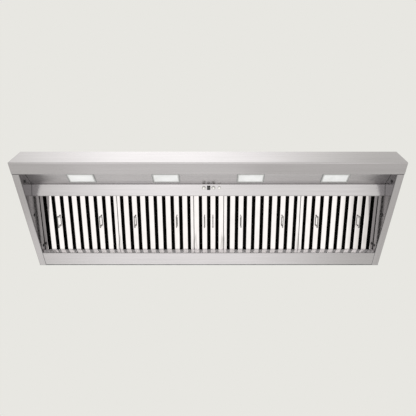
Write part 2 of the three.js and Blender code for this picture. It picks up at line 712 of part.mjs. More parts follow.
function buildFilter(number, x, width, bandsToHandle) {
  const slots = 1 + Math.floor((width - 2 * LEAST_MARGIN) / SLOT_PITCH);
  const across = (slots - 1) * SLOT_PITCH;
  const margin = (width - across) / 2; // from the filter's side to the middle of its first slot
  const middles = Array.from({ length: slots }, (_, i) => i * SLOT_PITCH - across / 2);
  const place = new THREE.Group();
  const middle = onSlope(filterLength / 2, 0);
  place.position.set(x, middle.x, middle.y);
  place.rotation.x = -FILTER_TILT;
  assembly.add(place);

  // frame: a channel all round, open above and below
  const [w, l, t] = [width / 2, filterLength / 2, FILTER_SHEET];
  const side = margin - SLOT_WIDTH / 2 - SEAM;
  const frame = cut(
    solid(box(-w, w, -l, l, 0, FILTER_THICKNESS)),
    box(-w + t, w - t, -l + t, l - t, t, FILTER_THICKNESS - t),
    box(-w + side, w - side, -l + FRAME_END_FLANGE, l - FRAME_END_FLANGE, -t, 2 * t),
    box(
      -w + FRAME_TOP_FLANGE, w - FRAME_TOP_FLANGE, -l + FRAME_END_FLANGE,
      l - FRAME_END_FLANGE, FILTER_THICKNESS - 2 * t, FILTER_THICKNESS + t,
    ),
  );
  add(`filter_${number}_frame`, geometryOf(frame), polishedSteel, place);

  // baffles: strips between the slots, cover strips over the slots, between two end walls
  const inner = l - t - SEAM;
  const lowest = t + SEAM;
  const highest = FILTER_THICKNESS - t - SEAM;
  const stripEnd = inner - END_WALL / 2;
  const strips = middles.slice(1).map((m) => prismY(
    stripSection(m - SLOT_PITCH / 2, lowest), -stripEnd, stripEnd,
  ));
  const covers = middles.map((m) => prismY(coverSection(m, highest), -stripEnd, stripEnd));
  const wallHalf = w - t - SEAM;
  const walls = [-1, 1].map((end) => {
    const [y0, y1] = span(end * inner, end * (inner - END_WALL));
    return box(-wallHalf, wallHalf, y0, y1, lowest, highest);
  });
  const handleAt = across / 2 - bandsToHandle * SLOT_PITCH;
  const ears = [-1, 1].flatMap((at) => [-1, 1].map((end) => earAt(at * handleAt, end * earOffset)));
  add(
    `filter_${number}_baffles`, geometryOf(join(...walls, ...strips, ...covers, ...ears)),
    polishedSteel, place,
  );

  add(`handle_${number}a`, bailWire(-handleAt), wireSteel, place);
  add(`handle_${number}b`, bailWire(handleAt), wireSteel, place);
}

// ------------------------------------------------------------------------------------ controls

function buildKnob(name, x) {
  const bore = KNOB_SHAFT_RADIUS + KNOB_SHAFT_PLAY;
  const [r, h, grip] = [KNOB_RADIUS, KNOB_HEIGHT, KNOB_RADIUS - KNOB_SKIRT_STEP];
  const body = turned([
    point(0, h - KNOB_WALL), point(bore, h - KNOB_WALL), point(bore, SEAM), point(r, SEAM),
    point(r, KNOB_SKIRT_HEIGHT), point(grip, KNOB_SKIRT_HEIGHT + KNOB_SKIRT_STEP),
    point(grip - KNOB_TAPER, h - KNOB_CHAMFER), point(grip - KNOB_TAPER - KNOB_CHAMFER, h),
    point(0, h),
  ], 14);
  const pointer = box(
    -POINTER_WIDTH / 2, POINTER_WIDTH / 2, POINTER_START, grip - KNOB_TAPER - KNOB_CHAMFER,
    h - POINTER_HEIGHT, h + POINTER_HEIGHT,
  );
  add(name, geometryOf(join(body, pointer)), paleKnob, groupOnControlPanel(x));
}

function buildControlBox() {
  const top = -SHEET - SEAM;
  const [l, w] = [CONTROL_BOX_LENGTH / 2, CONTROL_BOX_WIDTH / 2];
  const pocketL = SWITCH_LENGTH / 2 - SWITCH_RIM + SEAM;
  const pocketW = SWITCH_WIDTH / 2 - SWITCH_RIM + SEAM;
  const shaftTop = KNOB_HEIGHT - KNOB_WALL - SEAM;
  const shafts = [FAN_KNOB_X, LIGHT_KNOB_X].flatMap((x) => [
    cylinderZ(KNOB_SHAFT_RADIUS, top - SHEET, shaftTop, x, 0, 12),
    cylinderZ(BUSHING_RADIUS, top - SHEET, -SEAM, x, 0, 12),
  ]);
  const block = box(-l, l, -w, w, top - CONTROL_BOX_DEPTH, top);
  const pocket = box(
    SWITCH_X - pocketW, SWITCH_X + pocketW, -pocketL, pocketL,
    -SWITCH_DEPTH - SEAM, TOOL_OVERRUN,
  );
  const body = cut(join(block, ...shafts), pocket);
  add('control_box', geometryOf(body), blackPlastic, groupOnControlPanel(0));
}

// Twin rocker switch: a bezel with a middle wall and one pin, on which both rockers tilt.
const rockerWidth = (SWITCH_WIDTH - 3 * SWITCH_RIM - 4 * ROCKER_PLAY - ROCKER_SLACK) / 2;
const rockerAt = SWITCH_RIM / 2 + ROCKER_PLAY + rockerWidth / 2;
const rockerFace = SWITCH_FACE + ROCKER_STAND + ROCKER_PIN_DEPTH; // its ends' height above its pin
const rockerSwing = rockerFace * Math.sin(ROCKER_REST);
const rockerLength = SWITCH_LENGTH - 4 * SWITCH_RIM - 2 * (ROCKER_PLAY + rockerSwing);

function buildSwitchBezel() {
  const [w, l, rim] = [SWITCH_WIDTH / 2, SWITCH_LENGTH / 2, SWITCH_RIM];
  const flange = prismZ(roundedRectangle(2 * w, 2 * l, 1), SEAM, SWITCH_FACE);
  const sleeve = box(
    -w + rim, w - rim, -l + rim, l - rim, -SWITCH_DEPTH, SWITCH_FACE - FACE_STEP,
  );
  const openings = [-1, 1].map((side) => {
    const [x0, x1] = span(side * (rim / 2), side * (rockerAt + rockerWidth / 2 + ROCKER_PLAY));
    return box(
      x0, x1, -l + 2 * rim, l - 2 * rim, -SWITCH_DEPTH + rim, SWITCH_FACE + TOOL_OVERRUN,
    );
  });
  const pinEnd = w - rim - SEAM;
  const pin = cylinderX(ROCKER_PIN_RADIUS, -pinEnd, pinEnd, 0, -ROCKER_PIN_DEPTH, 10);
  const bezel = cut(join(flange, sleeve), ...openings).add(solid(pin));
  add('switch_bezel', geometryOf(bezel), blackPlastic, groupOnControlPanel(SWITCH_X));
}

function buildRocker(name, side) {
  const [half, face] = [rockerLength / 2, rockerFace];
  const dish = half * Math.tan(ROCKER_REST);
  const outline = new THREE.Shape([
    point(-half, face), point(-half + ROCKER_TAPER, -ROCKER_SKIRT),
    point(half - ROCKER_TAPER, -ROCKER_SKIRT), point(half, face), point(0, face - dish),
  ]);
  const bore = ROCKER_PIN_RADIUS + ROCKER_PIN_PLAY;
  outline.holes.push(new THREE.Path(ringPoints(bore, 12)));
  const rocker = prismX(outline, -rockerWidth / 2, rockerWidth / 2);
  const place = new THREE.Group();
  place.position.set(side * rockerAt, 0, -ROCKER_PIN_DEPTH);
  place.rotation.x = ROCKER_REST;
  groupOnControlPanel(SWITCH_X).add(place);
  add(name, rocker, blackPlastic, place);
}

function buildHeatSensor() {
  const [r, stem] = [SENSOR_RADIUS, SENSOR_STEM_RADIUS];
  const nutTop = -SHEET - SEAM;
  const STEPS = 3;
  const dome = Array.from({ length: STEPS }, (_, i) => {
    const angle = (Math.PI / 2) * (i / STEPS);
    return point(r * Math.cos(angle), SENSOR_RIM + SENSOR_DOME * Math.sin(angle));
  });
  const body = turned([
    point(0, nutTop - SENSOR_NUT), point(r, nutTop - SENSOR_NUT), point(r, nutTop),
    point(stem, nutTop), point(stem, SEAM), point(r, SEAM), ...dome,
    point(0, SENSOR_RIM + SENSOR_DOME),
  ], 12);
  add('heat_sensor', geometryOf(solid(body)), paleKnob, groupOnControlPanel(SENSOR_X));
}

// ------------------------------------------------------------------------------------- blowers

const blowerY = (filterFrontY + lipY) / 2;
const blowerZ = HOUSING_HEIGHT - BLOWER_DROP;
const scrollStart = IMPELLER_RADIUS + SCROLL_CLEARANCE + SCROLL_SHEET;
const scrollEnd = scrollStart + SCROLL_GROWTH;
const scrollHalf = IMPELLER_WIDTH / 2 + SCROLL_CLEARANCE + SCROLL_SHEET;
const cutoffY = blowerY + scrollStart * Math.cos(SCROLL_START);
const outletY = (cutoffY + blowerY + scrollEnd) / 2;

// The scroll's outline, drawn in by inset: from the cutoff round below and up the rear wall.
function scrollOutline(inset, top) {
  const STEPS = 16;
  const outline = [point(cutoffY + inset, top)];
  for (let i = 0; i <= STEPS; i += 1) {
    const share = i / STEPS;
    const angle = SCROLL_START + share * (2 * Math.PI - SCROLL_START);
    const radius = scrollStart + share * SCROLL_GROWTH - inset;
    outline.push(point(blowerY + radius * Math.cos(angle), blowerZ + radius * Math.sin(angle)));
  }
  outline.push(point(blowerY + scrollEnd - inset, top));
  return new THREE.Shape(outline);
}

function buildScroll(name, x) {
  const top = underTop - SEAM;
  const shell = prismX(scrollOutline(0, top), x - scrollHalf, x + scrollHalf);
  const flange = box(
    x - scrollHalf - SCROLL_FLANGE, x + scrollHalf + SCROLL_FLANGE,
    cutoffY - SCROLL_FLANGE, blowerY + scrollEnd + SCROLL_FLANGE, top - SCROLL_SHEET, top,
  );
  const innerHalfWidth = scrollHalf - SCROLL_SHEET;
  const hollow = prismX(
    scrollOutline(SCROLL_SHEET, top + TOOL_OVERRUN), x - innerHalfWidth, x + innerHalfWidth,
  );
  const inletHalf = scrollHalf + TOOL_OVERRUN;
  const inlets = cylinderX(INLET_RADIUS, x - inletHalf, x + inletHalf, blowerY, blowerZ);
  add(name, geometryOf(cut(join(shell, flange), hollow, inlets)), galvanised);
}

// One blade's section in (y, z), before it is turned to its place round the wheel.
function bladeSection() {
  const [inner, outer] = [IMPELLER_RADIUS - BLADE_DEPTH, IMPELLER_RADIUS - BLADE_EDGE_GAP];
  const face = BLADE_LEAN.map((lean, i) => {
    const share = i / (BLADE_LEAN.length - 1);
    return point(inner + share * (outer - inner), lean * BLADE_DEPTH);
  });
  return sheetSection(face, { sheet: BLADE_SHEET, rounded: false });
}

function buildImpeller(name, x, side) {
  const half = IMPELLER_WIDTH / 2;
  const bore = MOTOR_SHAFT_RADIUS + SHAFT_PLAY;
  const centre = new THREE.Matrix4().makeTranslation(x, blowerY, blowerZ);
  const washer = (outer, inner, x0, x1) => {
    const sides = (radius) => (radius > HUB_RADIUS ? BLADES : 10);
    const shape = new THREE.Shape(ringPoints(outer, sides(outer)));
    shape.holes.push(new THREE.Path(ringPoints(inner, sides(inner))));
    return prismX(shape, x0, x1);
  };
  const rings = [-1, 1].map((end) => {
    const inner = IMPELLER_RADIUS - BLADE_DEPTH - RING_LIP;
    return washer(IMPELLER_RADIUS, inner, ...span(end * half, end * (half - RING_THICKNESS)));
  });
  const disc = washer(
    IMPELLER_RADIUS - BLADE_DEPTH + DISC_LAP, bore, -DISC_THICKNESS / 2, DISC_THICKNESS / 2,
  );
  const hub = washer(HUB_RADIUS, bore, ...span(0, -side * HUB_LENGTH));
  const blades = Array.from({ length: BLADES }, (_, i) => prismX(
    bladeSection(), -half + RING_THICKNESS / 2, half - RING_THICKNESS / 2,
  ).rotateX((2 * Math.PI * i) / BLADES));
  const wheel = join(disc, hub, ...rings, ...blades);
  add(name, geometryOf(wheel).applyMatrix4(centre), aluminium);
}

function buildMotor(name, x, side) {
  const near = side * MOTOR_TO_DISC;
  const far = side * (scrollHalf + MOTOR_OVERHANG);
  const body = cylinderX(MOTOR_RADIUS, ...span(near, far), 0, 0);
  const shaftEnds = span(near + side * SHAFT_ROOT, -side * (HUB_LENGTH + SHAFT_STUB));
  const shaft = cylinderX(MOTOR_SHAFT_RADIUS, ...shaftEnds, 0, 0, 12);
  const plateAt = side * (scrollHalf + SEAM);
  const arms = [0, 1, 2].map((i) => {
    const [x0, x1] = span(plateAt, plateAt + side * ARM_THICKNESS);
    return box(
      x0, x1, -ARM_WIDTH / 2, ARM_WIDTH / 2, MOTOR_RADIUS - ARM_ROOT, INLET_RADIUS + ARM_FOOT,
    ).rotateX(Math.PI / 2 + (2 * Math.PI * i) / 3);
  });
  const centre = new THREE.Matrix4().makeTranslation(x, blowerY, blowerZ);
  add(name, geometryOf(join(body, shaft, ...arms)).applyMatrix4(centre), darkMotor);
}

// ------------------------------------------------------------------------ collars and dampers

const collarBase = HOUSING_HEIGHT + SEAM;
const collarTop = HOUSING_HEIGHT + COLLAR_HEIGHT;
const pinZ = HOUSING_HEIGHT + FLAP_PIN_HEIGHT;
const knuckleBore = FLAP_PIN_RADIUS + KNUCKLE_PLAY;
const knuckleRadius = knuckleBore + KNUCKLE_WALL;
const flapRadius = COLLAR_RADIUS - SHEET - FLAP_EDGE_GAP;

function buildCollar(name, x) {
  const [r, t] = [COLLAR_RADIUS, SHEET];
  const ring = turned([
    point(r - t, collarBase), point(r + COLLAR_FLANGE, collarBase),
    point(r + COLLAR_FLANGE, collarBase + t), point(r, collarBase + t), point(r, collarTop),
    point(r - t, collarTop), point(r - t, collarBase),
  ], 28);
  const pin = cylinderX(FLAP_PIN_RADIUS, -r + t / 2, r - t / 2, 0, pinZ, 10);
  const stopTop = pinZ - FLAP_SHEET / 2 - SEAM;
  const stops = [-1, 1].map((end) => {
    const [y0, y1] = span(end * (r - t / 2), end * (flapRadius - STOP_REACH));
    return box(-STOP_WIDTH / 2, STOP_WIDTH / 2, y0, y1, stopTop - t, stopTop);
  });
  const collar = join(ring, pin, ...stops);
  add(name, geometryOf(collar).translate(x, outletY, 0), galvanised);
}

// Half a disc with two knuckles round the pin; end is +1 for the rear half and -1 for the front one.
function buildFlap(name, x, end) {
  const STEPS = 12;
  const start = Math.asin(FLAP_TO_PIN / flapRadius);
  const rim = Array.from({ length: STEPS + 1 }, (_, i) => {
    const angle = start + ((Math.PI - 2 * start) * i) / STEPS;
    return point(flapRadius * Math.cos(angle), flapRadius * Math.sin(angle));
  });
  const plate = prismZ(new THREE.Shape(rim), -FLAP_SHEET / 2, FLAP_SHEET / 2);
  const knuckles = [-3, 1].flatMap((slot) => {
    const x0 = slot * (KNUCKLE_LENGTH + KNUCKLE_GAP);
    const x1 = x0 + KNUCKLE_LENGTH;
    const ring = new THREE.Shape(ringPoints(knuckleRadius, 10));
    ring.holes.push(new THREE.Path(ringPoints(knuckleBore, 10)));
    const tab = box(
      x0, x1, (knuckleBore + knuckleRadius) / 2, FLAP_TO_PIN + KNUCKLE_LAP,
      -FLAP_SHEET / 2, FLAP_SHEET / 2,
    );
    return [prismX(ring, x0, x1), tab];
  });
  const flap = geometryOf(join(plate, ...knuckles));
  if (end < 0) flap.rotateZ(Math.PI);
  add(name, flap.translate(x, outletY, pinZ), galvanised);
}

function buildJunctionBox() {
  const top = underTop - SEAM;
  const [w, d] = [JUNCTION_WIDTH / 2, JUNCTION_DEPTH / 2];
  const shell = solid(box(-w, w, outletY - d, outletY + d, top - JUNCTION_HEIGHT, top));
  const hollow = box(
    -w + SHEET, w - SHEET, outletY - d + SHEET, outletY + d - SHEET,
    top - JUNCTION_HEIGHT + SHEET, top - SHEET,
  );
  const knockout = cylinderZ(
    KNOCKOUT_RADIUS, top - 2 * SHEET, top + TOOL_OVERRUN, 0, outletY, 12,
  );
  add('junction_box', geometryOf(cut(shell, hollow, knockout)), galvanised);
}

// ------------------------------------------------------------------------------------ assembly

buildFrontPanel();
buildSideChannel('side_channel_left', -1);
buildSideChannel('side_channel_right', 1);
buildRearTrough();
buildRearPanel();
buildHousingFront();
buildGable('gable_left', -1);
buildGable('gable_right', 1);
buildTopPanel();
buildLampPanel();
buildControlPanel();
buildFilterRail();

lampPlaces.forEach((x, i) => buildLamp(i + 1, x));

const wideStep = wideFilter + FILTER_PLAY;
const innerWide = NARROW_FILTER / 2 + FILTER_PLAY + wideFilter / 2;
buildFilter(1, -innerWide - wideStep, wideFilter, 1.5);
buildFilter(2, -innerWide, wideFilter, 1.5);
buildFilter(3, 0, NARROW_FILTER, 0.5);
buildFilter(4, innerWide, wideFilter, 1.5);
buildFilter(5, innerWide + wideStep, wideFilter, 1.5);

buildControlBox();
buildKnob('fan_knob', FAN_KNOB_X);
buildKnob('light_knob', LIGHT_KNOB_X);
buildSwitchBezel();
buildRocker('rocker_left', -1);
buildRocker('rocker_right', 1);
buildHeatSensor();

[['left', -1], ['right', 1]].forEach(([side, sign]) => {
  const x = sign * BLOWER_OFFSET;
  buildScroll(`blower_scroll_${side}`, x);
  buildImpeller(`impeller_${side}`, x, sign);
  buildMotor(`motor_${side}`, x, sign);
  buildCollar(`collar_${side}`, x);
  buildFlap(`flap_${side}_front`, x, -1);
  buildFlap(`flap_${side}_rear`, x, 1);
});
buildJunctionBox();

const hood = new THREE.Group();
hood.add(assembly);
export default hood;
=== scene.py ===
"""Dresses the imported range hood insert: finishes, baffle packs, bails, lamps, controls and studio."""
import json
import math

import bmesh
import bpy
from bpy.props import FloatProperty, FloatVectorProperty, IntProperty, PointerProperty
from mathutils import Matrix, Vector
from mathutils.bvhtree import BVHTree


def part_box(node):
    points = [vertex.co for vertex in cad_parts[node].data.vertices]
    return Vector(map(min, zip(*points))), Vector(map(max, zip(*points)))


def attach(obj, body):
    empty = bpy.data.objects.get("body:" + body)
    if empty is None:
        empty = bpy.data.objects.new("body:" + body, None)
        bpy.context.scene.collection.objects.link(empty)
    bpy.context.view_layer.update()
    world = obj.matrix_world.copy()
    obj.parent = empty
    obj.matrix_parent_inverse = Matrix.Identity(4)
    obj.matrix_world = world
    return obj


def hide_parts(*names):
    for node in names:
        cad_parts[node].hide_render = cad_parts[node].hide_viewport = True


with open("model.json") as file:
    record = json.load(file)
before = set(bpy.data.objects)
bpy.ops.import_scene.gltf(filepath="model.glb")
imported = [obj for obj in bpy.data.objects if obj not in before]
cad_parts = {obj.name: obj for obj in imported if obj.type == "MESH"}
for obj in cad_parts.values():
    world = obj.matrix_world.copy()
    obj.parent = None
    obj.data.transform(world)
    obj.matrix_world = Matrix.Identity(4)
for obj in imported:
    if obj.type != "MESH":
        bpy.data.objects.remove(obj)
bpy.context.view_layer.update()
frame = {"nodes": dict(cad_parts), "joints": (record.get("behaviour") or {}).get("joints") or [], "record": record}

bl_info = {
    "name": "Range Hood Insert Dressing",
    "version": (1, 0, 0),
    "blender": (4, 5, 0),
    "location": "View3D > Sidebar > Hood Insert",
    "description": "Finishes, filters, handles, controls and studio for a range hood insert",
    "category": "Object",
}

MM = 0.001  # profiles and edges without it are in millimetres
JOINTS = {joint["name"]: joint for joint in frame["joints"]}
BODY_OF = {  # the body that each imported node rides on
    node: body
    for body, nodes in frame["record"]["behaviour"]["bodies"].items()
    for node in nodes
}
FILTERS = range(1, 6)
LAMPS = range(1, 5)
SIDES = {"left": -1, "right": 1}
ENDS = {"front": Matrix.Rotation(math.pi, 4, "Z"), "rear": Matrix.Identity(4)}  # of a duct


# -------------------------------------------------------------------------- colours and measures


def linear(hex_colour):
    """An sRGB hex colour as linear red, green, blue and alpha."""
    parts = [int(hex_colour[i : i + 2], 16) / 255 for i in (1, 3, 5)]
    curve = [p / 12.92 if p <= 0.04045 else ((p + 0.055) / 1.055) ** 2.4 for p in parts]
    return (*curve, 1.0)


def mm(*values):
    """A place given in millimetres."""
    return Vector(values) * MM


# ------------------------------------------------------------------------------------ properties


class HoodFinishes(bpy.types.PropertyGroup):
    """Colours and polish of the hood's metals and plastics."""

    brushed: FloatVectorProperty(
        name="Brushed stainless", description="Colour of the rim and its two sloped panels",
        subtype="COLOR", size=4, default=linear("#BCB9BB"), min=0, max=1,
    )
    brushed_roughness: FloatProperty(
        name="Brushing", description="Roughness left by the brushing belt",
        subtype="FACTOR", default=0.2, min=0, max=1,
    )
    bright: FloatVectorProperty(
        name="Bright stainless", description="Colour of the rolled filter strips",
        subtype="COLOR", size=4, default=linear("#EFEBEC"), min=0, max=1,
    )
    bright_roughness: FloatProperty(
        name="Bright roughness", description="Roughness of the rolled filter strips",
        subtype="FACTOR", default=0.055, min=0, max=1,
    )
    galvanised: FloatVectorProperty(
        name="Galvanised sheet", description="Colour of the zinc coat on the housing",
        subtype="COLOR", size=4, default=linear("#B4B8BA"), min=0, max=1,
    )
    lens_glow: FloatProperty(
        name="Lamp glow", description="How brightly the lit lamp lenses shine",
        default=0.4, min=0, max=20,
    )


class HoodSizes(bpy.types.PropertyGroup):
    """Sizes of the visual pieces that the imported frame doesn't give."""

    slot_pitch: FloatProperty(
        name="Slot pitch", description="Distance from slot to slot across a filter",
        unit="LENGTH", default=35.5 * MM, min=0.01,
    )
    slot_width: FloatProperty(
        name="Slot width", description="Open width between two baffle strips",
        unit="LENGTH", default=14.2 * MM, min=0.002,
    )
    strip_sheet: FloatProperty(
        name="Strip sheet", description="Sheet thickness of the baffle strips",
        unit="LENGTH", default=0.8 * MM, min=0.0002,
    )
    fold_radius: FloatProperty(
        name="Fold radius", description="Inner radius of the folds along a baffle strip",
        unit="LENGTH", default=0.9 * MM, min=0.0001,
    )
    bail_length: FloatProperty(
        name="Bail length", description="Overall length of a wire bail",
        unit="LENGTH", default=52 * MM, min=0.01,
    )
    bail_drop: FloatProperty(
        name="Bail drop", description="From the bail's pivot to the far side of its grip",
        unit="LENGTH", default=15 * MM, min=0.005,
    )
    wire_radius: FloatProperty(
        name="Wire radius", description="Radius of the bail's wire",
        unit="LENGTH", default=1.9 * MM, min=0.0005,
    )
    frame_fold: FloatProperty(
        name="Frame fold", description="Outer radius of the fold round a filter's frame",
        unit="LENGTH", default=1.4 * MM, min=0.0001,
    )
    flutes: IntProperty(
        name="Flutes", description="Flutes round the grip of each knob", default=24, min=0, max=60,
    )
    blades: IntProperty(
        name="Blades", description="Blades of each blower wheel", default=44, min=6, max=90,
    )


class HoodStudio(bpy.types.PropertyGroup):
    """Light, backdrop and camera."""

    background: FloatVectorProperty(
        name="Background", description="Colour of the backdrop and the floor",
        subtype="COLOR", size=4, default=linear("#E8E7E2"), min=0, max=1,
    )
    fill: FloatProperty(
        name="Fill", description="Plain light from all round", default=0.75, min=0, max=4,
    )
    floor_height: FloatProperty(
        name="Floor height", description="Height of the floor below the hood's rim",
        unit="LENGTH", default=-1.75,
    )
    camera_place: FloatVectorProperty(
        name="Camera", description="Where the camera stands, in front of the rim and below it",
        subtype="TRANSLATION", unit="LENGTH", size=3, default=(0.024, -0.8098, -1.2554),
    )
    camera_tilt: FloatProperty(
        name="Tilt", description="How far the camera is tilted back from looking straight down",
        subtype="ANGLE", default=math.radians(148.764),
    )
    camera_shift: FloatProperty(
        name="Shift", description="Sideways shift of the picture, as a share of its width",
        default=-0.01536,
    )
    lens: FloatProperty(
        name="Focal length", description="The camera's focal length, in millimetres",
        default=31.97, min=1,
    )


# ---------------------------------------------------------------------------------- node helpers


def add_node(tree, kind, inputs=None, **settings):
    """Adds a node with its settings; an input is linked if it gets a socket, and set otherwise."""
    node = tree.nodes.new(kind)
    for name, value in settings.items():
        setattr(node, name, value)
    for key, value in (inputs or {}).items():
        if isinstance(value, bpy.types.NodeSocket):
            tree.links.new(value, node.inputs[key])
        else:
            node.inputs[key].default_value = value
    return node


def surface(name, colour, metallic, roughness):
    """A new material's tree, its shader and the piece's own coordinates."""
    material = bpy.data.materials.new(name)
    material.use_nodes = True
    tree = material.node_tree
    shader = tree.nodes["Principled BSDF"]
    shader.inputs["Base Color"].default_value = colour
    shader.inputs["Metallic"].default_value = metallic
    shader.inputs["Roughness"].default_value = roughness
    place = add_node(tree, "ShaderNodeTexCoord").outputs["Object"]
    material.diffuse_color = colour
    return tree, shader, place


def grain(tree, place, sizes, detail=2.0):
    """Noise with features as long as the three sizes: plain, and drawn out to go from 0 to 1."""
    stretched = add_node(tree, "ShaderNodeMapping", {
        "Vector": place, "Scale": [1 / size for size in sizes],
    })
    noise = add_node(tree, "ShaderNodeTexNoise", {
        "Vector": stretched.outputs["Vector"], "Scale": 1.0, "Detail": detail,
    })
    full = add_node(tree, "ShaderNodeMapRange", {
        "Value": noise.outputs["Fac"], "From Min": 0.3, "From Max": 0.7,
    })
    return noise.outputs["Fac"], full.outputs["Result"]


def shade(colour, share):
    """A colour made darker or lighter by a share."""
    return (*(min(1.0, part * share) for part in colour[:3]), 1.0)


def grained(name, colour, metallic, roughness, tones, sizes, detail=2.0, depth=0.0, cloud=None):
    """A finish that follows one grain, between two values of roughness and two shares of tone.

    The grain may have a depth, and the tone may follow a coarser cloud instead.
    """
    tree, shader, place = surface(name, colour, metallic, roughness[0])
    noise, full = grain(tree, place, sizes, detail)
    rough = add_node(tree, "ShaderNodeMapRange", {
        "Value": full, "To Min": roughness[0], "To Max": roughness[1],
    })
    if cloud:
        _, full = grain(tree, place, [cloud] * 3)
    tone = add_node(tree, "ShaderNodeMix", {
        0: full, 6: shade(colour, tones[0]), 7: shade(colour, tones[1]),
    }, data_type="RGBA")
    tree.links.new(rough.outputs[0], shader.inputs["Roughness"])
    tree.links.new(tone.outputs[2], shader.inputs["Base Color"])
    if depth:
        bump = add_node(tree, "ShaderNodeBump", {"Height": noise, "Distance": depth})
        tree.links.new(bump.outputs[0], shader.inputs["Normal"])
    return shader


# ------------------------------------------------------------------------------------- materials

WALL_SHADE_FADE = (2 * MM, 3.5 * MM)  # where the painted shade on the inner walls fades out, from the inner wall's face
LIP_START = (2.5 * MM, 3.5 * MM)  # the heights between which the rear trough's lip starts


def brushed_stainless(finishes, name, along, softer=0.0, masked=None, share=1.0, haze=0.0, polish=0.0):
    """Belt-brushed 304 stainless: fine parallel scratches that draw reflections out in streaks.

    Where the mask is 1, the tone is scaled by a share, which is painted shade below 1 and painted light
    above 1; there the sheet also scatters some of the light as a haze, and is smoother by the polish.
    """
    colour, roughness = finishes.brushed, finishes.brushed_roughness + softer
    tree, shader, place = surface(name, colour, 1.0, roughness)
    # scratches are 0.3 mm wide on the real sheet, drawn 1.2 mm wide so that they show
    scratch, streak = ([90 * MM, 1.2 * MM, 1.2 * MM], [420 * MM, 9 * MM, 9 * MM])
    if along == "Y":
        scratch, streak = ([s[1], s[0], s[2]] for s in (scratch, streak))
    scratches, scratched = grain(tree, place, scratch, 3.0)
    _, streaked = grain(tree, place, streak)
    _, clouded = grain(tree, place, [260 * MM] * 3)
    swings = [(scratched, 0.08), (clouded, 0.04)]
    tone = add_node(tree, "ShaderNodeMix", {
        0: streaked, 6: shade(colour, 0.96), 7: shade(colour, 1.02),
    }, data_type="RGBA").outputs[2]
    rough = roughness - sum(swing for _, swing in swings) / 2
    if masked:
        mask = masked(tree, place)
        swings.append((mask, -polish))
        tone = add_node(tree, "ShaderNodeMix", {
            0: mask, 6: tone, 7: shade(colour, share),
        }, data_type="RGBA").outputs[2]
        if haze:
            metal = add_node(tree, "ShaderNodeMapRange", {
                "Value": mask, "To Min": 1, "To Max": 1 - haze,
            })
            tree.links.new(metal.outputs[0], shader.inputs["Metallic"])
    for value, swing in swings:
        rough = add_node(tree, "ShaderNodeMath", {0: value, 1: swing, 2: rough},
                         operation="MULTIPLY_ADD").outputs[0]
    bump = add_node(tree, "ShaderNodeBump", {"Height": scratches, "Distance": 0.02 * MM})
    for socket, key in ((tone, "Base Color"), (rough, "Roughness"), (bump.outputs[0], "Normal")):
        tree.links.new(socket, shader.inputs[key])


def painted_shade_walls(tree, place):
    """1 on the inner walls of the side channels, which are darkened as painted shade, else 0."""
    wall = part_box("side_channel_right")[0].x
    parts = add_node(tree, "ShaderNodeSeparateXYZ", {"Vector": place})
    away = add_node(tree, "ShaderNodeMath", {0: parts.outputs["X"]}, operation="ABSOLUTE")
    return add_node(tree, "ShaderNodeMapRange", {
        "Value": away.outputs[0], "From Min": wall + WALL_SHADE_FADE[0], "From Max": wall + WALL_SHADE_FADE[1],
        "To Min": 1, "To Max": 0,
    }).outputs[0]


def painted_light_lip(tree, place):
    """1 above the fold of the rear trough, on the lip, which is smoother and carries painted light in a raised
    tone, else 0.
    """
    parts = add_node(tree, "ShaderNodeSeparateXYZ", {"Vector": place})
    return add_node(tree, "ShaderNodeMapRange", {
        "Value": parts.outputs["Z"], "From Min": LIP_START[0], "From Max": LIP_START[1],
    }).outputs[0]


def bright_stainless(finishes):
    """Bright annealed stainless strip: nearly a mirror, with the slow ripple of rolled sheet."""
    rough = finishes.bright_roughness
    grained("bright_stainless", finishes.bright, 1.0, (rough - 0.03, rough + 0.04), (0.95, 1.04),
            [14 * MM, 90 * MM, 14 * MM], depth=0.05 * MM)


def shade_painted_stainless():
    """Near-black dull stainless as painted shade: the dark inside the slots, and the shade on the frames' steep
    folds.
    """
    shader = grained("shade_painted_stainless", linear("#080807"), 0.0, (0.7, 0.9), (0.6, 1.5),
                     [40 * MM] * 3, 4.0)
    shader.inputs["Specular IOR Level"].default_value = 0.05


def drawn_wire():
    """Bright drawn stainless wire: hard highlights along it, with faint die marks."""
    # die marks are 0.1 mm wide on real wire, drawn 0.8 mm wide so that they show
    grained("drawn_wire", linear("#858482"), 1.0, (0.1, 0.2), (0.97, 1.03),
            [0.8 * MM, 14 * MM, 0.8 * MM], 3.0, 0.01 * MM)


def galvanised_sheet(finishes):
    """Hot-dip galvanised sheet: spangles 16 mm wide that catch the light each in its own tone."""
    colour = finishes.galvanised
    tree, shader, place = surface("galvanised_sheet", colour, 0.9, 0.42)
    wander = add_node(tree, "ShaderNodeTexNoise", {"Vector": place, "Scale": 1 / (30 * MM)})
    moved = add_node(tree, "ShaderNodeVectorMath", {
        0: wander.outputs["Color"], 1: [6 * MM] * 3, 2: place,
    }, operation="MULTIPLY_ADD")
    cells = add_node(tree, "ShaderNodeTexVoronoi", {
        "Vector": moved.outputs[0], "Scale": 1 / (16 * MM),
    })
    split = add_node(tree, "ShaderNodeSeparateColor", {"Color": cells.outputs["Color"]})
    tone = add_node(tree, "ShaderNodeMix", {
        0: split.outputs[0], 6: shade(colour, 0.84), 7: shade(colour, 1.1),
    }, data_type="RGBA")
    rough = add_node(tree, "ShaderNodeMapRange", {
        "Value": split.outputs[1], "To Min": 0.32, "To Max": 0.52,
    })
    tree.links.new(tone.outputs[2], shader.inputs["Base Color"])
    tree.links.new(rough.outputs[0], shader.inputs["Roughness"])


def baked_enamel(name, colour, roughness=0.34):
    """Baked enamel: an even coat with the faint orange peel of sprayed paint."""
    grained(name, colour, 0.0, (roughness - 0.05, roughness + 0.07), (0.95, 1),
            [1.8 * MM] * 3, depth=0.03 * MM, cloud=55 * MM)


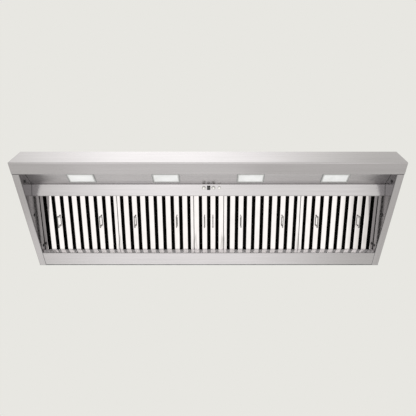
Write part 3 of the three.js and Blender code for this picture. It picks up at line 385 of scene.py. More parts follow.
def frosted_lens(finishes, name, glow):
    """Frosted polycarbonate, lit from behind: white and even, a little dimmer in patches."""
    tree, shader, place = surface(name, linear("#C6C6C4"), 0.0, 0.42)
    # the frost's grains are 0.2 mm wide on the real lens, drawn 1.5 mm wide so that they show
    frost, _ = grain(tree, place, [1.5 * MM] * 3)
    cloud, _ = grain(tree, place, [30 * MM] * 3)
    _, patches = grain(tree, place, [34 * MM] * 3)
    bump = add_node(tree, "ShaderNodeBump", {"Height": frost, "Distance": 0.1 * MM})
    tone = add_node(tree, "ShaderNodeMix", {
        0: cloud, 6: linear("#BDBDBB"), 7: linear("#CDCDCC"),
    }, data_type="RGBA")
    strength = finishes.lens_glow * glow
    lit = add_node(tree, "ShaderNodeMapRange", {
        "Value": patches, "To Min": strength * 0.86, "To Max": strength * 1.1,
    })
    shader.inputs["IOR"].default_value = 1.58
    shader.inputs["Emission Color"].default_value = linear("#FBFDFF")
    tree.links.new(tone.outputs[2], shader.inputs["Base Color"])
    tree.links.new(lit.outputs[0], shader.inputs["Emission Strength"])
    tree.links.new(bump.outputs[0], shader.inputs["Normal"])


def moulded_abs(name, colour):
    """Moulded ABS with a fine spark-eroded grain that dulls its gloss."""
    # the grain is 0.1 mm wide on real mouldings, drawn 0.5 mm wide so that it shows
    grained(name, colour, 0.0, (0.34, 0.5), (0.8, 1.25), [0.5 * MM] * 3, depth=0.02 * MM)


def satin_aluminium():
    """Satin aluminium, turned and clear anodised: pale and soft, with a fine tool grain."""
    # the tool's marks are 0.1 mm apart on the real knob, drawn 0.35 mm wide so that they show
    grained("satin_aluminium", linear("#F1F0EE"), 1.0, (0.22, 0.34), (0.94, 1),
            [0.35 * MM] * 3, depth=0.01 * MM)


def mill_aluminium():
    """Mill-finish aluminium sheet, rolled: grey, with long faint roll marks."""
    # roll marks are 0.3 mm wide on real sheet, drawn 2 mm wide so that they show
    grained("mill_aluminium", linear("#BFC1C3"), 1.0, (0.3, 0.46), (0.9, 1),
            [60 * MM, 2 * MM, 2 * MM])


def zinc_plate():
    """Bright zinc-plated steel of screws and rivets: cool, with a slightly clouded gloss."""
    grained("zinc_plate", linear("#C4C6C9"), 1.0, (0.18, 0.36), (0.85, 1), [4 * MM] * 3)


def coated(mesh, *names):
    """Adds finishes to a mesh, by their names."""
    for name in names:
        mesh.materials.append(bpy.data.materials[name])
    return mesh


# --------------------------------------------------------------------------------- shape helpers


def new_object(name, data):
    """A mesh, lamp or camera in the scene."""
    thing = bpy.data.objects.new(name, data)
    bpy.context.scene.collection.objects.link(thing)
    return thing


def mesh_from(name, points, edges=(), faces=()):
    """A mesh of points, edges and faces."""
    mesh = bpy.data.meshes.new(name)
    mesh.from_pydata([tuple(point) for point in points], list(edges), list(faces))
    return mesh


def joined(name, meshes):
    """One mesh with the geometry and the materials of several."""
    whole = bmesh.new()
    materials = []
    for mesh in meshes:
        first = len(whole.faces)
        whole.from_mesh(mesh)
        whole.faces.ensure_lookup_table()
        for material in mesh.materials:
            if material not in materials:
                materials.append(material)
        for face in whole.faces[first:]:
            face.material_index = materials.index(mesh.materials[face.material_index])
        bpy.data.meshes.remove(mesh)
    result = bpy.data.meshes.new(name)
    whole.to_mesh(result)
    whole.free()
    for material in materials:
        result.materials.append(material)
    return result


def filleted(corners, radius, steps):
    """A path's points with each inner corner rounded."""
    path = [corners[0]]
    for before, corner, after in zip(corners, corners[1:], corners[2:]):
        into, out = (corner - before).normalized(), (after - corner).normalized()
        turn = math.atan2(into.x * out.y - into.y * out.x, into.dot(out))
        setback = radius * math.tan(abs(turn) / 2)
        start = corner - into * setback
        side = math.copysign(1, turn)
        centre = start + Vector((-into.y, into.x)) * side * radius
        for k in range(steps + 1):
            path.append(centre + Matrix.Rotation(turn * k / steps, 2) @ (start - centre))
    return [*path, corners[-1]]


def sheet_outline(path, sheet):
    """Closed outline of a sheet: its face along the path, and its back one sheet to the left."""
    back = []
    for i, point in enumerate(path):
        ahead = path[min(i + 1, len(path) - 1)] - path[min(i, len(path) - 2)]
        behind = path[max(i, 1)] - path[max(i - 1, 0)]
        normals = [Vector((-run.y, run.x)).normalized() for run in (behind, ahead)]
        middle = normals[0] + normals[1]
        back.append(point + middle * sheet / (1 + normals[0].dot(normals[1])))
    return [*path, *reversed(back)]


def folded(name, corners, radius, sheet, steps=4):
    """The section of a folded sheet, from its corners in (x, z), as one face that looks along +Y."""
    path = filleted([Vector(corner) for corner in corners], radius, steps)
    points = [(point.x, 0, point.y) for point in sheet_outline(path, sheet)]
    mesh = mesh_from(name, points, faces=[range(len(points))])
    if mesh.polygons[0].normal.y < 0:
        mesh.flip_normals()
    return mesh


def finished(name, work):
    """The mesh of a bmesh that is done with."""
    mesh = bpy.data.meshes.new(name)
    work.to_mesh(mesh)
    work.free()
    return mesh


def circle(radius, height, sides, flutes, depth):
    """Points of a ring about Z, drawn in by a number of rounded flutes."""
    ring = []
    for i in range(sides):
        angle = 2 * math.pi * i / sides
        reach = radius - depth * (0.5 - 0.5 * math.cos(flutes * angle))
        ring.append((reach * math.cos(angle), reach * math.sin(angle), height))
    return ring


def rounded(half_x, half_y, radius, height, steps=5):
    """Points of a rounded rectangle about Z."""
    ring = []
    for quarter, (x, y) in enumerate(((1, 1), (-1, 1), (-1, -1), (1, -1))):
        for k in range(steps + 1):
            angle = math.pi / 2 * (quarter + k / steps)
            ring.append((
                x * (half_x - radius) + radius * math.cos(angle),
                y * (half_y - radius) + radius * math.sin(angle), height,
            ))
    return ring


def stacked(name, rings, closed=False):
    """A body skinned over rings of points: capped at both ends, or closed on itself."""
    work = bmesh.new()
    loops = [[work.verts.new(point) for point in ring] for ring in rings]
    pairs = list(zip(loops, loops[1:]))
    if closed:
        pairs.append((loops[-1], loops[0]))
    for low, high in pairs:
        for i, j in zip(range(len(low)), (*range(1, len(low)), 0)):
            work.faces.new((low[i], low[j], high[j], high[i]))
    if not closed:
        for loop in (loops[0], loops[-1]):
            work.faces.new(loop)
    bmesh.ops.remove_doubles(work, verts=work.verts, dist=1e-7)
    bmesh.ops.recalc_face_normals(work, faces=work.faces)
    return smooth(finished(name, work))


def turned(name, profile, material, closed=False, sides=48, flutes=0, depth=0.0):
    """A turned part about Z, from radii and heights; a third value of 1 flutes a ring."""
    rings = [
        circle(radius * MM, height * MM, sides, flutes, depth * sum(fluted))
        for radius, height, *fluted in profile
    ]
    return coated(stacked(name, rings, closed), material)


def refined(node, bevel, chosen=None, segments=2):
    """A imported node's shape, its corners merged, its flat faces whole and its edges rounded."""
    work = bmesh.new()
    work.from_mesh(frame["nodes"][node].data)
    bmesh.ops.remove_doubles(work, verts=work.verts, dist=1e-6)
    bmesh.ops.dissolve_limit(
        work, angle_limit=math.radians(0.5), verts=work.verts, edges=work.edges,
    )
    sharp = [
        edge for edge in work.edges
        if edge.is_manifold and edge.calc_face_angle() > math.radians(30)
        and (chosen is None or chosen(edge))
    ]
    bmesh.ops.bevel(
        work, geom=sharp, offset=bevel, segments=segments, profile=0.5, affect="EDGES",
        clamp_overlap=True,
    )
    return smooth(finished(f"{node}_refined", work), 20)


def block(name, low, high, bevel):
    """A box between two corners, with its edges rounded."""
    work = bmesh.new()
    bmesh.ops.create_cube(work, size=1.0)
    low, high = Vector(low), Vector(high)
    for vert in work.verts:
        vert.co = [low[k] + (vert.co[k] + 0.5) * (high[k] - low[k]) for k in range(3)]
    bmesh.ops.bevel(
        work, geom=work.edges[:], offset=bevel, segments=2, profile=0.5, affect="EDGES",
    )
    return finished(name, work)


def smooth(mesh, degrees=32):
    """Smooth shading, with edges sharp where the faces turn by more than an angle."""
    mesh.polygons.foreach_set("use_smooth", [True] * len(mesh.polygons))
    mesh.set_sharp_from_angle(angle=math.radians(degrees))
    return mesh


def facing_frame(centre, out):
    """A frame whose z points out of a face and whose x is the hood's."""
    across, out = Vector((1, 0, 0)), out.normalized()
    turn = Matrix((across, out.cross(across), out)).transposed().to_4x4()
    return Matrix.Translation(centre) @ turn


def node_frame(node, out):
    """A node's frame that faces out, with its origin in the middle of the outermost side."""
    turn = facing_frame(Vector(), out)
    points = [turn.inverted() @ vert.co for vert in frame["nodes"][node].data.vertices]
    low, high = (Vector([pick(p[k] for p in points) for k in range(3)]) for pick in (min, max))
    centre = turn @ Vector(((low.x + high.x) / 2, (low.y + high.y) / 2, high.z))
    return facing_frame(centre, out), high - low


def settle(name, mesh, node, stands_for_it=True):
    """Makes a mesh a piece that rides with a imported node's body, and stands for that node."""
    mesh.name = name
    piece = new_object(name, mesh)
    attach(piece, BODY_OF[node])
    if stands_for_it:
        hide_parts(node)


# --------------------------------------------------------------------------------- geometry nodes


def new_tree(name, sockets):
    """A geometry node tree with named inputs, and its two ends."""
    tree = bpy.data.node_groups.new(name, "GeometryNodeTree")
    tree.interface.new_socket("Geometry", in_out="OUTPUT", socket_type="NodeSocketGeometry")
    tree.interface.new_socket("Geometry", in_out="INPUT", socket_type="NodeSocketGeometry")
    for label, kind in sockets:
        tree.interface.new_socket(label, in_out="INPUT", socket_type=f"NodeSocket{kind}")
    tree.interface.new_socket("Material", in_out="INPUT", socket_type="NodeSocketMaterial")
    return tree, add_node(tree, "NodeGroupInput").outputs, add_node(tree, "NodeGroupOutput")


def end_tree(tree, geometry, given, output):
    """The last nodes of every tree: instances made real, and the material set."""
    real = add_node(tree, "GeometryNodeRealizeInstances", {"Geometry": geometry})
    finish = add_node(tree, "GeometryNodeSetMaterial", {
        "Geometry": real.outputs[0], "Material": given["Material"],
    })
    tree.links.new(finish.outputs[0], output.inputs[0])
    return tree


def prism_nodes(tree, section, length):
    """A section's face drawn out along its normal, +Y, into a closed prism."""
    drawn = add_node(tree, "GeometryNodeExtrudeMesh", {
        "Mesh": section, "Offset Scale": length, "Individual": False,
    })
    start = add_node(tree, "GeometryNodeFlipFaces", {"Mesh": section})
    whole = add_node(tree, "GeometryNodeJoinGeometry")
    for end in (drawn, start):
        tree.links.new(end.outputs[0], whole.inputs[0])
    return add_node(tree, "GeometryNodeMergeByDistance", {
        "Geometry": whole.outputs[0], "Distance": 1e-6,
    }).outputs[0]


def strip_row_tree():
    """A folded strip's section, drawn to a length and repeated across the filter."""
    tree, given, output = new_tree("strip_row", [
        ("Length", "Float"), ("Strips", "Int"), ("Pitch", "Float"),
    ])
    strip = prism_nodes(tree, given["Geometry"], given["Length"])
    step = add_node(tree, "ShaderNodeCombineXYZ", {"X": given["Pitch"]})
    row = add_node(tree, "GeometryNodeMeshLine", {
        "Count": given["Strips"], "Offset": step.outputs[0],
    })
    placed = add_node(tree, "GeometryNodeInstanceOnPoints", {
        "Points": row.outputs[0], "Instance": strip,
    })
    return end_tree(tree, placed.outputs[0], given, output)


def bail_tree():
    """A bent wire: the corners of its line rounded, and a round section swept along it."""
    tree, given, output = new_tree("wire_bail", [
        ("Wire Radius", "Float"), ("Bend Radius", "Float"), ("Sides", "Int"),
    ])
    line = add_node(tree, "GeometryNodeMeshToCurve", {"Mesh": given["Geometry"]})
    bent = add_node(tree, "GeometryNodeFilletCurve", {
        "Curve": line.outputs[0], "Count": BEND_STEPS, "Radius": given["Bend Radius"],
    }, mode="POLY")
    ring = add_node(tree, "GeometryNodeCurvePrimitiveCircle", {
        "Resolution": given["Sides"], "Radius": given["Wire Radius"],
    })
    wire = add_node(tree, "GeometryNodeCurveToMesh", {
        "Curve": bent.outputs[0], "Profile Curve": ring.outputs[0], "Fill Caps": True,
    })
    return end_tree(tree, wire.outputs[0], given, output)


def wheel_tree():
    """A blade's section drawn along the axle and repeated round the wheel."""
    tree, given, output = new_tree("blade_wheel", [("Length", "Float"), ("Blades", "Int")])
    blade = prism_nodes(tree, given["Geometry"], given["Length"])
    points = add_node(tree, "GeometryNodePoints", {"Count": given["Blades"]})
    placed = add_node(tree, "GeometryNodeInstanceOnPoints", {
        "Points": points.outputs[0], "Instance": blade,
    })
    turn = add_node(tree, "ShaderNodeMath", {0: 2 * math.pi, 1: given["Blades"]},
                    operation="DIVIDE")
    index = add_node(tree, "GeometryNodeInputIndex")
    angle = add_node(tree, "ShaderNodeMath", {0: index.outputs[0], 1: turn.outputs[0]},
                     operation="MULTIPLY")
    about = add_node(tree, "ShaderNodeCombineXYZ", {"Y": angle.outputs[0]})
    wheel = add_node(tree, "GeometryNodeRotateInstances", {
        "Instances": placed.outputs[0], "Rotation": about.outputs[0],
    })
    return end_tree(tree, wheel.outputs[0], given, output)


def fastener_tree():
    """A fastener's head on every point, turned to the point's facing."""
    tree, given, output = new_tree("fasteners", [("Head", "Object")])
    head = add_node(tree, "GeometryNodeObjectInfo", {"Object": given["Head"]})
    facing = add_node(tree, "GeometryNodeInputNamedAttribute", {"Name": "facing"},
                      data_type="FLOAT_VECTOR")
    upright = add_node(tree, "FunctionNodeAlignRotationToVector", {
        "Vector": facing.outputs["Attribute"],
    }, axis="Z")
    points = add_node(tree, "GeometryNodeMeshToPoints", {"Mesh": given["Geometry"]})
    placed = add_node(tree, "GeometryNodeInstanceOnPoints", {
        "Points": points.outputs[0], "Instance": head.outputs["Geometry"],
        "Rotation": upright.outputs[0],
    })
    return end_tree(tree, placed.outputs[0], given, output)


def grown(name, base, tree, values):
    """The plain mesh that a node tree makes from a base mesh."""
    holder = new_object(f"{name}_base", base)
    modifier = holder.modifiers.new("grow", "NODES")
    modifier.node_group = tree
    for socket in tree.interface.items_tree:
        if socket.in_out == "INPUT" and socket.name in values:
            modifier[socket.identifier] = values[socket.name]
    evaluated = holder.evaluated_get(bpy.context.evaluated_depsgraph_get())
    mesh = bpy.data.meshes.new_from_object(evaluated)
    holder.modifiers.remove(modifier)
    bpy.data.objects.remove(holder)
    bpy.data.meshes.remove(base)
    mesh.name = name
    return smooth(mesh)


# --------------------------------------------------------------------------------------- filters

FILTER_THICKNESS = 22 * MM
FILTER_SHEET = 1 * MM
SEAM = 0.3 * MM  # between the baffle pack and its frame
FOLD_STEPS = 3
STEEP_FOLD = (-0.9, -0.1)  # the slant of the fold's steep part, which carries painted shade, as its normal's z
NEAR = 0.1 * MM  # what still counts as the same place
STRIP_FLAT = 17.2 * MM
STRIP_RISE = 0.35 * MM
STRIP_LIP = 7.5 * MM
COVER_WIDTH = 23 * MM
COVER_LIP = 11 * MM
END_WALL = 1.2 * MM
WALL_BEVEL = 0.2 * MM
LEAST_MARGIN = 18 * MM  # from the outermost slots' middles to the filter's sides
PIVOT_DROP = 3.6 * MM  # from the filter's underside to the bails' pivots
EAR_RADIUS = 4.4 * MM
EAR_BORE = 2.35 * MM
EAR_THICKNESS = 2.4 * MM
EAR_STEPS = 32
EAR_OFFSET = 20.3 * MM
EAR_SHIFT = 3 * MM  # of both ears and the bail, down the slope from the pivot's middle
BAIL_BEND = 3 * MM
BAIL_END = 3.5 * MM  # how far the wire's end reaches past its ear
BEND_STEPS = 7
WIRE_SIDES = 16


def joint_place(name):
    """A point on a joint's axis."""
    return Vector(JOINTS[name]["pos_m"])


def filter_frame(number):
    """A filter's own frame: x across, y down the slope, z square to it, from its underside."""
    up = Vector(JOINTS[f"filter_{number}_slide"]["axis"]).normalized()
    down, across = -up, Vector((1, 0, 0))
    square = across.cross(down)
    low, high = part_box(f"filter_{number}_frame")
    pivot = joint_place(f"handle_{number}a_swing")
    centre = Vector(((low.x + high.x) / 2, pivot.y, pivot.z)) + square * PIVOT_DROP
    turn = Matrix((across, down, square)).transposed().to_4x4()
    return Matrix.Translation(centre) @ turn


def filter_extent(number):
    """A filter's width, and its length down the slope."""
    low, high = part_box(f"filter_{number}_frame")
    to_local = filter_frame(number).inverted()
    points = (to_local @ vert.co for vert in frame["nodes"][f"filter_{number}_frame"].data.vertices)
    return high.x - low.x, 2 * max(point.y for point in points)


def strip_section(sizes, lowest):
    """A strip between two slots: its face down, and its flanks turned up into lips."""
    half = (sizes.slot_pitch - sizes.slot_width) / 2
    flank, lip = lowest + STRIP_RISE, lowest + STRIP_RISE + STRIP_LIP
    corners = [
        (-half, lip), (-half, flank), (-STRIP_FLAT / 2, lowest),
        (STRIP_FLAT / 2, lowest), (half, flank), (half, lip),
    ]
    radius = sizes.fold_radius + sizes.strip_sheet
    return folded("strip_section", corners, radius, sizes.strip_sheet)


def cover_section(sizes, highest):
    """A strip over a slot: its face up, and its sides turned down between the lower strips."""
    half = COVER_WIDTH / 2
    corners = [
        (half, highest - COVER_LIP), (half, highest), (-half, highest), (-half, highest - COVER_LIP),
    ]
    radius = sizes.fold_radius + sizes.strip_sheet
    return folded("cover_section", corners, radius, sizes.strip_sheet)


def ear(name, x, y, root):
    """A rounded tab with a round bore, which stands down from a strip."""
    work = bmesh.new()
    rings = []
    for side in (-1, 1):
        outer, bore = [], []
        for i in range(EAR_STEPS):
            angle = 2 * math.pi * (i + 0.5) / EAR_STEPS
            run = Vector((math.cos(angle), math.sin(angle)))
            reach = EAR_RADIUS
            if run.y > 0:
                reach = min(EAR_RADIUS / max(abs(run.x), 1e-6), (root + PIVOT_DROP) / run.y)
            for ring, radius in ((outer, reach), (bore, EAR_BORE)):
                ring.append(work.verts.new((
                    x + run.x * radius, y + side * EAR_THICKNESS / 2, run.y * radius - PIVOT_DROP,
                )))
        rings.append((outer, bore))
    (outer_a, bore_a), (outer_b, bore_b) = rings
    for first, second in (
        (outer_a, bore_a), (bore_a, bore_b), (bore_b, outer_b), (outer_b, outer_a),
    ):
        for i in range(EAR_STEPS):
            j = (i + 1) % EAR_STEPS
            work.faces.new((first[i], first[j], second[j], second[i]))
    bmesh.ops.recalc_face_normals(work, faces=work.faces)
    return smooth(finished(name, work))


def baffle_pack(number, sizes, rows):
    """Strips between the slots, cover strips above them, end walls, and ears for the bails."""
    width, length = filter_extent(number)
    slots = 1 + math.floor((width - 2 * LEAST_MARGIN) / sizes.slot_pitch)
    across = (slots - 1) * sizes.slot_pitch
    lowest = FILTER_SHEET + SEAM
    highest = FILTER_THICKNESS - FILTER_SHEET - SEAM
    inner = length / 2 - FILTER_SHEET - SEAM
    drawn = 2 * (inner - END_WALL / 2)
    frame_of = filter_frame(number)
    parts = []
    # painted shade: the cover strips and the end walls get the near-black finish that stands for the dark inside
    # the slots
    for name, section, count, start, material in (
        ("strips", strip_section(sizes, lowest), slots - 1, sizes.slot_pitch / 2,
         "bright_stainless"),
        ("covers", cover_section(sizes, highest), slots, 0.0, "shade_painted_stainless"),
    ):
        part = grown(f"filter_{number}_{name}", section, rows, {
            "Length": drawn, "Strips": count, "Pitch": sizes.slot_pitch,
            "Material": bpy.data.materials[material],
        })
        part.transform(Matrix.Translation((start - across / 2, -drawn / 2, 0)))
        parts.append(part)
    half = width / 2 - FILTER_SHEET - SEAM
    for end in (-1, 1):
        y0, y1 = sorted((end * inner, end * (inner - END_WALL)))
        wall = block("end_wall", (-half, y0, lowest), (half, y1, highest), WALL_BEVEL)
        parts.append(coated(wall, "shade_painted_stainless"))
    for side in "ab":
        x = joint_place(f"handle_{number}{side}_swing").x - frame_of.translation.x
        for end in (-1, 1):
            y = EAR_SHIFT + end * EAR_OFFSET
            tab = ear("ear", x, y, lowest + sizes.strip_sheet / 2)
            parts.append(coated(tab, "bright_stainless"))
    mesh = joined(f"filter_{number}_baffle_pack", parts)
    mesh.transform(frame_of)
    return mesh


def rounded_frame(number, sizes):
    """A filter's frame with its lower outer edges folded round, and the fold's steep part near-black as painted
    shade, so that a seam shows beside it.
    """
    width, length = filter_extent(number)
    to_local = filter_frame(number).inverted()

    def outer(edge):
        ends = [to_local @ vert.co for vert in edge.verts]
        low = all(abs(end.z) < NEAR for end in ends)
        return low and any(
            all(abs(abs(end[k]) - reach / 2) < NEAR for end in ends)
            for k, reach in enumerate((width, length))
        )

    mesh = refined(f"filter_{number}_frame", sizes.frame_fold, outer, FOLD_STEPS)
    coated(mesh, "bright_stainless", "shade_painted_stainless")
    turn = to_local.to_3x3()
    for face in mesh.polygons:
        slant = (turn @ face.normal).z
        low = min((to_local @ mesh.vertices[i].co).z for i in face.vertices) < sizes.frame_fold
        # painted shade: the steep part of the fold lies in the next filter's shade, and gets the near-black finish
        face.material_index = int(low and STEEP_FOLD[0] < slant < STEEP_FOLD[1])
    return mesh


def bail_line(sizes):
    """The wire's line in the filter's frame, from one inner end round the grip to the other."""
    reach = sizes.bail_length / 2 - sizes.wire_radius
    stub = EAR_OFFSET - EAR_THICKNESS / 2 - BAIL_END
    grip = -PIVOT_DROP - sizes.bail_drop + sizes.wire_radius
    half = [(0, stub, -PIVOT_DROP), (0, reach, -PIVOT_DROP), (0, reach, grip)]
    points = half + [(x, -y, z) for x, y, z in reversed(half)]
    points = [(x, y + EAR_SHIFT, z) for x, y, z in points]
    return mesh_from("bail_line", points, edges=[(i, i + 1) for i in range(len(points) - 1)])


# ----------------------------------------------------------------------------- lamps and controls

LENS_CORNER = 1.5 * MM
LENS_EDGE = ((0, -1.1), (0.35, -0.6), (3.4, -0.1), (3.9, 0))  # inset, and height to the lit face
BEZEL_THICKNESS = 1.2 * MM
HOUSING_BEVEL = 0.3 * MM
KNOB_TOP = 11.3 * MM  # from the control panel to the top of the knob's pointer
KNOB_SIDES = 96
KNOB_PROFILE = (  # radius, height over the panel, and 1 where the grip is fluted
    (3.3, 8), (3.3, 0.3), (7.3, 0.3), (7.6, 0.6), (7.6, 2.0), (7.3, 2.5), (6.9, 2.7), (6.7, 3.1, 1),
    (6.6, 7.6, 1), (6.3, 8.4), (5.9, 9.0), (3.9, 10.7), (3.4, 11),
)
FLUTE_DEPTH = 0.4 * MM
POINTER = (mm(-0.6, 1.5, 10.4), mm(0.6, 5.0, 11.3))
SENSOR_TOP = 3.6 * MM
SENSOR_PROFILE = (  # radius, and height over the panel
    (6.2, -4.8), (6.5, -4.5), (6.5, -1.8), (3.4, -1.8), (3.4, 0.3), (6.3, 0.3), (6.5, 0.5),
    (6.5, 1.0), (6.28, 1.67), (5.63, 2.3), (4.6, 2.84), (3.25, 3.25), (1.68, 3.51), (0.5, 3.58),
)
BEZEL_BEVEL = 0.3 * MM
ROCKER_REST = math.radians(7)
ROCKER_BEVEL = 0.35 * MM
INLAY = (mm(-1.9, -1.1, 2.0), mm(1.9, 1.1, 3.05))  # the rocker's bar, from its pivot
SMALL_BEVEL = 0.15 * MM
PLUG_PROFILE = (  # radius, and height over the wall
    (3.9, -1.6), (3.9, 0.2), (6.4, 0.2), (6.4, 1.2), (5.2, 2.3), (2.4, 2.8),
)
PLUG_PITCH = 154 * MM
PLUG_HEIGHT = 25 * MM


def lamp_out():
    """The way the lamps face: square to the lens's largest face, downwards."""
    faces = frame["nodes"]["lamp_lens_1"].data.polygons
    down = [face for face in faces if face.normal.z < -0.5]
    return max(down, key=lambda face: face.area).normal


def lamp_lens(number):
    """A lens with a flat lit face inside a wide bevel, which glows less."""
    place, size = node_frame(f"lamp_lens_{number}", lamp_out())
    steps = [(0, -size.z), *((inset * MM, height * MM) for inset, height in LENS_EDGE)]
    mesh = stacked(f"lamp_{number}_lens", [
        rounded(size.x / 2 - inset, size.y / 2 - inset, LENS_CORNER + inset / 2, height)
        for inset, height in steps
    ])
    coated(mesh, "lens_edge", "lit_lens")
    for face in mesh.polygons:
        flat = abs(face.normal.z) > 0.999 and face.center.z > -size.z / 2
        face.material_index = int(flat)
    mesh.transform(place)
    return mesh


def lamp_housing(number):
    """The lamp's tray in white enamel, with a satin grey rim that stands off the panel."""
    node = f"lamp_housing_{number}"
    place, _ = node_frame(node, lamp_out())
    to_local = place.inverted()
    mesh = coated(refined(node, HOUSING_BEVEL), "white_enamel", "grey_enamel")
    for face in mesh.polygons:
        heights = [(to_local @ mesh.vertices[i].co).z for i in face.vertices]
        face.material_index = int(min(heights) > -BEZEL_THICKNESS - NEAR)
    return mesh


def control_out():
    """The way the control panel faces: along the fan knob's axis, downwards."""
    axis = Vector(JOINTS["fan_knob_turn"]["axis"])
    return axis if axis.z < 0 else -axis


def fluted_knob(knob, sizes):
    """A turned knob: a plain skirt, a fluted grip, a domed top, and a bore for its shaft."""
    place, _ = node_frame(knob, control_out())
    body = turned("body", KNOB_PROFILE, "satin_aluminium", False, KNOB_SIDES, sizes.flutes, FLUTE_DEPTH)
    pointer = block("pointer", *POINTER, SMALL_BEVEL)
    mesh = joined(f"{knob}_fluted", [body, coated(pointer, "grey_abs")])
    mesh.transform(place @ Matrix.Translation((0, 0, -KNOB_TOP)))
    return mesh


def sensor():
    """The heat sensor: a domed button on a stem, held by a nut behind the panel."""
    place, _ = node_frame("heat_sensor", control_out())
    mesh = turned("heat_sensor_dome", SENSOR_PROFILE, "satin_aluminium")
    mesh.transform(place @ Matrix.Translation((0, 0, -SENSOR_TOP)))
    return mesh


def rocker(side):
    """A rocker with rounded edges and a grey bar across its middle."""
    body = coated(refined(f"rocker_{side}", ROCKER_BEVEL), "black_abs")
    bar = block("bar", *INLAY, SMALL_BEVEL)
    tilt = Matrix.Rotation(ROCKER_REST, 4, "X")
    bar.transform(facing_frame(joint_place(f"rocker_{side}_tilt"), control_out()) @ tilt)
    return joined(f"rocker_{side}_moulding", [body, coated(bar, "pale_grey_abs")])


def access_plugs(side):
    """Black plugs in the three mounting holes of a side channel's inner wall."""
    low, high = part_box(f"side_channel_{side}")
    inward = -SIDES[side]
    wall = high.x if inward > 0 else low.x
    plugs = []
    for row in (-1, 0, 1):
        plug = turned("plug", PLUG_PROFILE, "black_abs", sides=24)
        plug.transform(Matrix.Rotation(inward * math.pi / 2, 4, "Y"))
        plug.transform(Matrix.Translation((wall, row * PLUG_PITCH, PLUG_HEIGHT)))
        plugs.append(plug)
    return joined(f"side_channel_{side}_plugs", plugs)


# ------------------------------------------------------------------------------ blowers and ducts

SCROLL_BEVEL = 0.4 * MM
BOX_BEVEL = 1.2 * MM
BLADE_PATH = (mm(58, 2.4), mm(64, 0.6), mm(69.4, -4.2))
BLADE_BEND = 9 * MM
BLADE_SHEET = 0.8 * MM
BLADE_LENGTH = 117 * MM
WHEEL_HALF = 60 * MM
RING_WIDTH = 3 * MM
END_RING = (  # radius, and height over its lower side
    (57, 0.6), (57.6, 0), (69.4, 0), (70, 0.6), (70, 2.4), (69.4, 3), (57.6, 3), (57, 2.4),
)
WHEEL_DISC = (  # radius, and distance from the wheel's middle
    (4.3, 1), (59.5, 1), (59.5, -1), (16, -1), (13, -2), (12, -4), (12, -29.4), (11.4, -30),
    (4.3, -30),
)
MOTOR_PROFILE = (  # radius, distance from the wheel's middle, and 1 where the casing is finned
    (34, 8), (39, 8.6), (41.4, 10.4), (42, 13), (42, 48), (41.2, 48.5), (41.2, 50.5), (42, 51),
    (42, 70), (42, 72, 1), (42, 90, 1), (40.4, 93), (36, 96.2), (16, 96.2), (15, 94.2),
)
FINS = 36
FIN_DEPTH = 1.6 * MM
SHAFT = ((4, 10), (4, -33.5), (3.5, -34))  # radius, and distance from the wheel's middle
ARM = (mm(-7, -71, 66.5), mm(7, -38, 69))
ARM_BEVEL = 0.5 * MM
ARMS = 3
COLLAR_PROFILE = (  # radius, height over the top panel, and 1 where the collar is crimped
    (100, 0.3), (122.2, 0.3), (122.5, 0.6), (122.5, 1.5), (122.2, 1.8), (103.4, 1.8), (102.1, 2.3),
    (101.5, 3.6), (101.5, 24), (100.9, 25), (100.9, 27), (101.5, 28), (101.5, 29.5, 1),
    (101.3, 39.8, 1), (101, 40, 1), (99.9, 39.8, 1), (100, 29.5, 1), (100, 28), (99.4, 27),
    (99.4, 25), (100, 24),
)
CRIMPS = 48
CRIMP_DEPTH = 1.1 * MM
FLAP_PIN = ((3, -100.7), (3, 100.7))  # radius, and distance from the duct's middle
FLAP_STOP = (mm(-7, 92, -2.4), mm(7, 100.7, -0.9))
STOP_BEVEL = 0.3 * MM
FLAP_PLATE = (97, 6.4)  # its radius, and its straight side's distance from the pin
PLATE_EDGE = ((0.3, -0.6), (0, -0.3), (0, 0.3), (0.3, 0.6))  # inset and height
FLAP_RIB = (78, 16)  # the same, of the rib's outer edge
RIB_EDGE = ((0, 0.4), (0.7, 1.2), (2, 1.5), (3.3, 1.2), (4, 0.4))
KNUCKLE = (3.4, 4.9)  # radii of its bore and its outside
KNUCKLES = ((-63, -43), (21, 41))  # where each starts and ends along the pin
TAB = ((4.2, -0.6), (7.4, 0.6))  # from the knuckle to the plate
TAB_BEVEL = 0.2 * MM
FLAP_STEPS = 48
RIVET = ((3.4, 0), (3.2, 0.5), (2.4, 1.0), (1.2, 1.3))  # radius, and height over the sheet
WASHER = ((4.6, 0), (4.6, 0.5), (4.3, 0.8))
HEXAGON = ((3.4, 0.6), (3.4, 2.6), (2.9, 3.0))
RIVET_CIRCLE = 113 * MM
RIVETS = 12
SCREWS = {"side": 4, "front": 9}
SIDE_ROW = 10 * MM  # how far the screws at the sides sit behind even places
FRONT_ROW = 9 * MM  # from the top panel's front edge to its row of screws
ABOVE = 0.1  # from where the fasteners' rays come down
BESIDE = 1.0  # from where they come in at the sides
ALONG_X = Matrix.Rotation(math.pi / 2, 4, "Y")  # turns z to the hood's x


def wheel_place(side):
    """A blower's frame: its origin in the wheel's middle, its z outwards along the axle."""
    turn = Matrix.Rotation(SIDES[side] * math.pi / 2, 4, "Y")
    return Matrix.Translation(joint_place(f"impeller_{side}_spin")) @ turn


